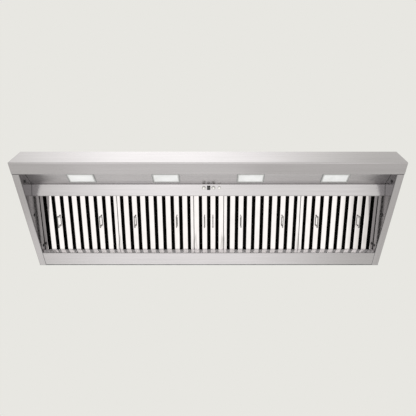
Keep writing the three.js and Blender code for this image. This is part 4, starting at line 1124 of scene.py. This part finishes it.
def blower_wheel(side, sizes, tree):
    """A wheel of curved blades between two end rings, with a disc and a hub in its middle."""
    section = folded("blade_section", BLADE_PATH, BLADE_BEND, BLADE_SHEET, 3)
    blades = grown("blades", section, tree, {
        "Length": BLADE_LENGTH, "Blades": sizes.blades,
        "Material": bpy.data.materials["mill_aluminium"],
    })
    blades.transform(Matrix.Translation((0, -BLADE_LENGTH / 2, 0)))
    blades.transform(Matrix.Rotation(math.pi / 2, 4, "X"))
    parts = [blades]
    for height in (WHEEL_HALF - RING_WIDTH, -WHEEL_HALF):
        ring = turned("end_ring", END_RING, "mill_aluminium", True, 96)
        ring.transform(Matrix.Translation((0, 0, height)))
        parts.append(ring)
    parts.append(turned("disc", WHEEL_DISC, "mill_aluminium", True))
    mesh = joined(f"impeller_{side}_wheel", parts)
    mesh.transform(wheel_place(side))
    return mesh


def motor(side):
    """A motor with a finned end, its shaft, and the three arms that hold it to the scroll."""
    parts = [
        turned("casing", MOTOR_PROFILE, "motor_enamel", False, 4 * FINS, FINS, FIN_DEPTH),
        turned("shaft", SHAFT, "zinc_plate", sides=32),
    ]
    for i in range(ARMS):
        arm = block("arm", *ARM, ARM_BEVEL)
        arm.transform(Matrix.Rotation(2 * math.pi * i / ARMS, 4, "Z"))
        parts.append(coated(smooth(arm), "zinc_plate"))
    mesh = joined(f"motor_{side}_body", parts)
    mesh.transform(wheel_place(side))
    return mesh


def collar_place(side):
    """A collar's frame: its origin over the middle of the duct, on the top panel."""
    low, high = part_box(f"collar_{side}")
    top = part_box("top_panel")[1].z
    return Matrix.Translation(((low.x + high.x) / 2, (low.y + high.y) / 2, top))


def pin_height(side):
    """The flaps' pin's height over the top panel."""
    return joint_place(f"flap_{side}_front_swing").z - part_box("top_panel")[1].z


def collar(side):
    """A flanged collar, beaded and crimped at its end, with the flaps' pin and their two stops."""
    ring = turned("ring", COLLAR_PROFILE, "galvanised_sheet", True, 4 * CRIMPS, CRIMPS, CRIMP_DEPTH)
    pin = turned("pin", FLAP_PIN, "zinc_plate", sides=24)
    height = Matrix.Translation((0, 0, pin_height(side)))
    pin.transform(height @ ALONG_X)
    parts = [ring, pin]
    for turn in ENDS.values():
        stop = block("stop", *FLAP_STOP, STOP_BEVEL)
        stop.transform(height @ turn)
        parts.append(coated(stop, "galvanised_sheet"))
    mesh = joined(f"collar_{side}_crimped", parts)
    mesh.transform(collar_place(side))
    return mesh


def half_discs(size, edge):
    """Rings of half discs whose straight side stands off the pin, one for each step of an edge."""
    radius, start = size
    rings = []
    for inset, height in edge:
        reach = radius - inset
        first = math.asin((start + inset) / reach)
        angles = [first + (math.pi - 2 * first) * i / FLAP_STEPS for i in range(FLAP_STEPS + 1)]
        rings.append([mm(reach * math.cos(a), reach * math.sin(a), height) for a in angles])
    return rings


def flap(side, end):
    """A half-round flap with a pressed rib, and two knuckles round the pin."""
    plate = stacked("plate", half_discs(FLAP_PLATE, PLATE_EDGE))
    rib = stacked("rib", half_discs(FLAP_RIB, RIB_EDGE), closed=True)
    parts = [coated(plate, "galvanised_sheet"), coated(rib, "galvanised_sheet")]
    bore, outer = KNUCKLE
    for x0, x1 in KNUCKLES:
        profile = ((bore, x0), (outer, x0), (outer, x1), (bore, x1))
        knuckle = turned("knuckle", profile, "galvanised_sheet", True, 32)
        knuckle.transform(ALONG_X)
        tab = block("tab", mm(x0, *TAB[0]), mm(x1, *TAB[1]), TAB_BEVEL)
        parts += [knuckle, coated(tab, "galvanised_sheet")]
    mesh = joined(f"flap_{side}_{end}_blade", parts)
    height = Matrix.Translation((0, 0, pin_height(side)))
    mesh.transform(collar_place(side) @ height @ ENDS[end])
    return mesh


def rivet_head():
    """A domed rivet."""
    return turned("rivet", RIVET, "zinc_plate", sides=16)


def screw_head():
    """A hexagon-headed sheet screw with its washer."""
    return joined("screw", [
        turned("washer", WASHER, "zinc_plate", sides=18),
        turned("hexagon", HEXAGON, "zinc_plate", sides=6),
    ])


def flange_rays(side):
    """Rays down on a collar's flange, all round it."""
    place = collar_place(side)
    for i in range(RIVETS):
        turn = Matrix.Rotation(2 * math.pi * (i + 0.5) / RIVETS, 4, "Z")
        yield place @ turn @ Vector((RIVET_CIRCLE, 0, ABOVE)), Vector((0, 0, -1))


def edge_rays():
    """Rays on the middles of the top panel's side skirts, and down on its front edge."""
    low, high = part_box("top_panel")
    for sign in SIDES.values():
        for i in range(SCREWS["side"]):
            y = low.y + (high.y - low.y) * (i + 0.5) / SCREWS["side"]
            start = Vector((sign * BESIDE, y + SIDE_ROW, (low.z + high.z) / 2))
            yield start, Vector((-sign, 0, 0))
    for i in range(SCREWS["front"]):
        x = low.x + (high.x - low.x) * (i + 0.5) / SCREWS["front"]
        yield Vector((x, low.y + FRONT_ROW, high.z + ABOVE)), Vector((0, 0, -1))


def rows_of(name, node, tree, head, rays):
    """A fastener's head wherever a ray meets a node, square to the sheet there."""
    sheet = frame["nodes"][node].data
    solid = BVHTree.FromPolygons(
        [vert.co for vert in sheet.vertices], [face.vertices for face in sheet.polygons],
    )
    hits = [solid.ray_cast(start, way) for start, way in rays]
    if any(place is None for place, *_ in hits):
        raise RuntimeError(f"{name}: a fastener misses its sheet")
    base = mesh_from(f"{name}_points", [place for place, *_ in hits])
    facing = base.attributes.new("facing", "FLOAT_VECTOR", "POINT")
    facing.data.foreach_set("vector", [part for _, normal, *_ in hits for part in normal])
    pattern = new_object(f"{name}_head", head)
    mesh = grown(name, base, tree, {"Head": pattern, "Material": head.materials[0]})
    bpy.data.objects.remove(pattern)
    return mesh


# ------------------------------------------------------------------------------------- operators

COATS = {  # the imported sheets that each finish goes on
    "brushed_stainless_long": ("front_panel", "control_panel"),
    "brushed_stainless_soft": ("lamp_panel",),
    "brushed_stainless_lip": ("rear_trough",),
    "brushed_stainless_deep": ("side_channel_left", "side_channel_right"),
    "galvanised_sheet": (
        "rear_panel", "housing_front", "gable_left", "gable_right", "top_panel", "filter_rail",
    ),
    "black_abs": ("control_box",),
}


class HOOD_OT_finishes(bpy.types.Operator):
    """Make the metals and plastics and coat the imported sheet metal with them"""

    bl_idname = "hood.finishes"
    bl_label = "Finishes"

    def execute(self, context):
        finishes = context.scene.hood_finishes
        brushed_stainless(finishes, "brushed_stainless_long", "X")
        brushed_stainless(finishes, "brushed_stainless_soft", "X", softer=0.08)
        # painted shade: the side channels' inner walls are darkened to 0.42 of their tone
        brushed_stainless(finishes, "brushed_stainless_deep", "Y", masked=painted_shade_walls, share=0.42)
        # painted light: the rear trough's lip is raised to twice its tone, clipped at white; it is also smoother
        # and hazier
        brushed_stainless(finishes, "brushed_stainless_lip", "X", masked=painted_light_lip, share=2.0,
                          haze=0.5, polish=0.14)
        bright_stainless(finishes)
        shade_painted_stainless()
        drawn_wire()
        galvanised_sheet(finishes)
        baked_enamel("white_enamel", linear("#E6E4DF"))
        baked_enamel("motor_enamel", linear("#34363A"), 0.45)
        baked_enamel("grey_enamel", linear("#A3A4A5"), 0.4)
        frosted_lens(finishes, "lit_lens", 1.0)
        frosted_lens(finishes, "lens_edge", 0.3)
        moulded_abs("black_abs", linear("#161618"))
        moulded_abs("grey_abs", linear("#4A4A4C"))
        moulded_abs("pale_grey_abs", linear("#8A8B8C"))
        satin_aluminium()
        mill_aluminium()
        zinc_plate()
        for name, nodes in COATS.items():
            for node in nodes:
                sheet = frame["nodes"][node].data
                sheet.materials.clear()
                coated(sheet, name)
        return {"FINISHED"}


class HOOD_OT_filters(bpy.types.Operator):
    """Build the folded frame and the slotted baffle pack of each filter"""

    bl_idname = "hood.filters"
    bl_label = "Filters"

    def execute(self, context):
        sizes = context.scene.hood_sizes
        rows = strip_row_tree()
        for number in FILTERS:
            settle(
                f"filter_{number}_baffle_pack", baffle_pack(number, sizes, rows),
                f"filter_{number}_baffles",
            )
            settle(
                f"filter_{number}_folded_frame", rounded_frame(number, sizes),
                f"filter_{number}_frame",
            )
        return {"FINISHED"}


class HOOD_OT_bails(bpy.types.Operator):
    """Bend the wire bail of each filter handle"""

    bl_idname = "hood.bails"
    bl_label = "Bails"

    def execute(self, context):
        sizes = context.scene.hood_sizes
        tree = bail_tree()
        for number in FILTERS:
            frame_of = filter_frame(number)
            for side in "ab":
                name = f"handle_{number}{side}"
                mesh = grown(f"{name}_wire", bail_line(sizes), tree, {
                    "Wire Radius": sizes.wire_radius, "Bend Radius": BAIL_BEND,
                    "Sides": WIRE_SIDES, "Material": bpy.data.materials["drawn_wire"],
                })
                shift = joint_place(f"{name}_swing").x - frame_of.translation.x
                mesh.transform(frame_of @ Matrix.Translation((shift, 0, 0)))
                settle(f"{name}_wire", mesh, name)
        return {"FINISHED"}


class HOOD_OT_lamps(bpy.types.Operator):
    """Build the bevelled lenses and the lamp housings with their grey rims"""

    bl_idname = "hood.lamps"
    bl_label = "Lamps"

    def execute(self, context):
        for number in LAMPS:
            settle(
                f"lamp_{number}_lens", lamp_lens(number), f"lamp_lens_{number}",
            )
            settle(
                f"lamp_{number}_housing", lamp_housing(number),
                f"lamp_housing_{number}",
            )
        return {"FINISHED"}


class HOOD_OT_controls(bpy.types.Operator):
    """Build the fluted knobs, the twin rocker switch, the heat sensor and the hole plugs"""

    bl_idname = "hood.controls"
    bl_label = "Controls"

    def execute(self, context):
        sizes = context.scene.hood_sizes
        for knob in ("fan_knob", "light_knob"):
            settle(f"{knob}_fluted", fluted_knob(knob, sizes), knob)
        settle("heat_sensor_dome", sensor(), "heat_sensor")
        bezel = coated(refined("switch_bezel", BEZEL_BEVEL), "grey_abs")
        settle("switch_bezel_moulding", bezel, "switch_bezel")
        for side in SIDES:
            settle(f"rocker_{side}_moulding", rocker(side), f"rocker_{side}")
            node = f"side_channel_{side}"
            settle(f"{node}_plugs", access_plugs(side), node, False)
        return {"FINISHED"}


class HOOD_OT_blowers(bpy.types.Operator):
    """Build the blower wheels, the motors and the scrolls"""

    bl_idname = "hood.blowers"
    bl_label = "Blowers"

    def execute(self, context):
        sizes = context.scene.hood_sizes
        blades = wheel_tree()
        for side in SIDES:
            node = f"impeller_{side}"
            settle(f"{node}_wheel", blower_wheel(side, sizes, blades), node)
            settle(f"motor_{side}_body", motor(side), f"motor_{side}")
            scroll = coated(refined(f"blower_scroll_{side}", SCROLL_BEVEL), "galvanised_sheet")
            settle(f"scroll_{side}_casing", scroll, f"blower_scroll_{side}")
        return {"FINISHED"}


class HOOD_OT_ducts(bpy.types.Operator):
    """Build the crimped duct collars, the backdraft flaps and the junction box"""

    bl_idname = "hood.ducts"
    bl_label = "Duct collars"

    def execute(self, context):
        for side in SIDES:
            settle(f"collar_{side}_crimped", collar(side), f"collar_{side}")
            for end in ENDS:
                node = f"flap_{side}_{end}"
                settle(f"{node}_blade", flap(side, end), node)
        box = coated(refined("junction_box", BOX_BEVEL), "galvanised_sheet")
        settle("junction_box_shell", box, "junction_box")
        return {"FINISHED"}


class HOOD_OT_fasteners(bpy.types.Operator):
    """Set rivets round the collars' flanges and screws along the top panel's edges"""

    bl_idname = "hood.fasteners"
    bl_label = "Fasteners"

    def execute(self, context):
        tree = fastener_tree()
        for side in SIDES:
            name, node = f"collar_{side}_rivets", f"collar_{side}"
            rivets = rows_of(name, node, tree, rivet_head(), flange_rays(side))
            settle(name, rivets, node, False)
        screws = rows_of("top_panel_screws", "top_panel", tree, screw_head(), edge_rays())
        settle("top_panel_screws", screws, "top_panel", False)
        return {"FINISHED"}


# ---------------------------------------------------------------------------------------- studio

FLOOR_REACH = 6.0
SOFTBOXES = {  # place, target, size, brightness, and how softly each edge fades, in metres
    "front": ((-0.45, -1.25, 2.3), (-0.3, -0.24, 0.05), (4.8, 1.4), 1.0, (2.2, 0.3)),
    "rear": ((-0.35, 1.6, -1.7), (-0.35, 1.6, 0), (4.3, 1.2), 0.68, (1.7, 0.2)),
    "flange": ((-0.45, 0.7, -1.7), (-0.45, 0.7, 0), (1.9, 0.6), 0.28, (0.3, 0.2)),
    "panel": ((-0.025, -1.05, -1.69), (-0.025, -1.05, 0), (3.65, 0.9), 0.6, (0.5, 0.1)),
    "panel_key": ((-0.4, -1.05, -1.68), (-0.4, -1.05, 0), (2.0, 0.9), 0.3, (0.9, 0.1)),
    "bands": ((-0.15, -0.05, -1.7), (-0.15, -0.05, 0), (3.1, 1.1), 0.36, (0.3, 0.2)),
    "lamp_panel": ((-0.4, 4, -1.0), (-0.4, 0, -1.0), (7, 1.2), 0.34, (2.6, 0.3)),
}


def shown_share(tree):
    """1 for the rays that show the backdrop itself: camera, glossy and transmission rays."""
    path = add_node(tree, "ShaderNodeLightPath").outputs
    seen = add_node(tree, "ShaderNodeMath", {
        0: path["Is Camera Ray"], 1: path["Is Glossy Ray"],
    }, operation="ADD")
    return add_node(tree, "ShaderNodeMath", {
        0: seen.outputs[0], 1: path["Is Transmission Ray"],
    }, operation="ADD", use_clamp=True).outputs[0]


def make_world(studio):
    """Plain light from all round, which shows as the backdrop's own colour."""
    world = bpy.data.worlds.new("studio_world")
    bpy.context.scene.world = world
    world.use_nodes = True
    tree = world.node_tree
    plain = tree.nodes["Background"]
    plain.inputs["Color"].default_value = (1, 1, 1, 1)
    plain.inputs["Strength"].default_value = studio.fill
    shown = add_node(tree, "ShaderNodeBackground", {"Color": studio.background})
    mixed = add_node(tree, "ShaderNodeMixShader", {
        0: shown_share(tree), 1: plain.outputs[0], 2: shown.outputs[0],
    })
    tree.links.new(mixed.outputs[0], tree.nodes["World Output"].inputs["Surface"])


def make_floor(studio):
    """A wide pale floor that shows the backdrop's colour to the camera and in reflections."""
    turns = ((-1, -1), (1, -1), (1, 1), (-1, 1))
    corners = [(x * FLOOR_REACH, y * FLOOR_REACH, studio.floor_height) for x, y in turns]
    floor = new_object("floor", mesh_from("floor", corners, faces=[range(4)]))
    tree, shader, _ = surface("studio_paper", studio.background, 0.0, 0.9)
    glow = add_node(tree, "ShaderNodeEmission", {"Color": studio.background})
    mixed = add_node(tree, "ShaderNodeMixShader", {
        0: shown_share(tree), 1: shader.outputs[0], 2: glow.outputs[0],
    })
    tree.links.new(mixed.outputs[0], tree.nodes["Material Output"].inputs["Surface"])
    coated(floor.data, "studio_paper")


def softbox(name, place, target, size, brightness, softness):
    """A rectangular lamp that fades over a distance from each edge; brightness 1 is white."""
    light = bpy.data.lights.new(name, "AREA")
    light.shape = "RECTANGLE"
    light.size, light.size_y = size
    light.energy = brightness * size[0] * size[1] * math.pi
    light.use_nodes = True
    tree = light.node_tree
    across = add_node(tree, "ShaderNodeSeparateXYZ", {
        "Vector": add_node(tree, "ShaderNodeNewGeometry").outputs["Parametric"],
    })
    strength = 1.0
    for axis, length, fade in zip("XY", size, softness):
        off_middle = add_node(tree, "ShaderNodeMath", {
            0: across.outputs[axis], 1: 0.5,
        }, operation="SUBTRACT")
        share = add_node(tree, "ShaderNodeMath", {0: off_middle.outputs[0]}, operation="ABSOLUTE")
        kept = add_node(tree, "ShaderNodeMapRange", {
            "Value": share.outputs[0], "From Min": 0.5, "From Max": 0.5 - fade / length,
        }, interpolation_type="SMOOTHSTEP")
        strength = add_node(tree, "ShaderNodeMath", {
            0: kept.outputs["Result"], 1: strength,
        }, operation="MULTIPLY").outputs[0]
    tree.links.new(strength, tree.nodes["Emission"].inputs["Strength"])
    lamp = new_object(name, light)
    lamp.location = place
    lamp.rotation_euler = (Vector(target) - Vector(place)).to_track_quat("-Z", "Y").to_euler()
    lamp.visible_camera = False


def make_camera(studio):
    """The camera, low in front of the hood, looking up into it."""
    data = bpy.data.cameras.new("camera")
    data.lens = studio.lens
    data.shift_x = studio.camera_shift
    camera = new_object("camera", data)
    camera.location = studio.camera_place
    camera.rotation_euler = (studio.camera_tilt, 0, 0)
    bpy.context.scene.camera = camera


class HOOD_OT_studio(bpy.types.Operator):
    """Set up the backdrop, the lamps and the camera"""

    bl_idname = "hood.studio"
    bl_label = "Studio"

    def execute(self, context):
        studio = context.scene.hood_studio
        context.scene.view_settings.view_transform = "Standard"
        make_world(studio)
        make_floor(studio)
        for name, values in SOFTBOXES.items():
            softbox(name, *values)
        make_camera(studio)
        return {"FINISHED"}


class HOOD_PT_panel(bpy.types.Panel):
    """Lists the steps that dress the hood insert, and its sizes and finishes"""

    bl_idname = "HOOD_PT_panel"
    bl_label = "Hood Insert"
    bl_space_type = "VIEW_3D"
    bl_region_type = "UI"
    bl_category = "Hood Insert"

    def draw(self, context):
        column = self.layout.column()
        for operator in STEPS:
            column.operator(operator.bl_idname)
        for group in GROUPS:
            values = getattr(context.scene, group)
            for name in type(values).__annotations__:
                column.prop(values, name)


STEPS = (
    HOOD_OT_finishes, HOOD_OT_filters, HOOD_OT_bails, HOOD_OT_lamps, HOOD_OT_controls,
    HOOD_OT_blowers, HOOD_OT_ducts, HOOD_OT_fasteners, HOOD_OT_studio,
)
GROUPS = {
    "hood_finishes": HoodFinishes, "hood_sizes": HoodSizes, "hood_studio": HoodStudio,
}


def register():
    """Registers the classes and gives the scene their settings."""
    for kind in (*GROUPS.values(), *STEPS, HOOD_PT_panel):
        bpy.utils.register_class(kind)
    for name, kind in GROUPS.items():
        setattr(bpy.types.Scene, name, PointerProperty(type=kind))


def unregister():
    """Takes the settings and the classes away again."""
    for name in GROUPS:
        delattr(bpy.types.Scene, name)
    for kind in reversed((*GROUPS.values(), *STEPS, HOOD_PT_panel)):
        bpy.utils.unregister_class(kind)


def main():
    """Dresses the part."""
    register()
    bpy.ops.hood.finishes()
    bpy.ops.hood.filters()
    bpy.ops.hood.bails()
    bpy.ops.hood.lamps()
    bpy.ops.hood.controls()
    bpy.ops.hood.blowers()
    bpy.ops.hood.ducts()
    bpy.ops.hood.fasteners()
    bpy.ops.hood.studio()


if __name__ == "__main__":
    main()
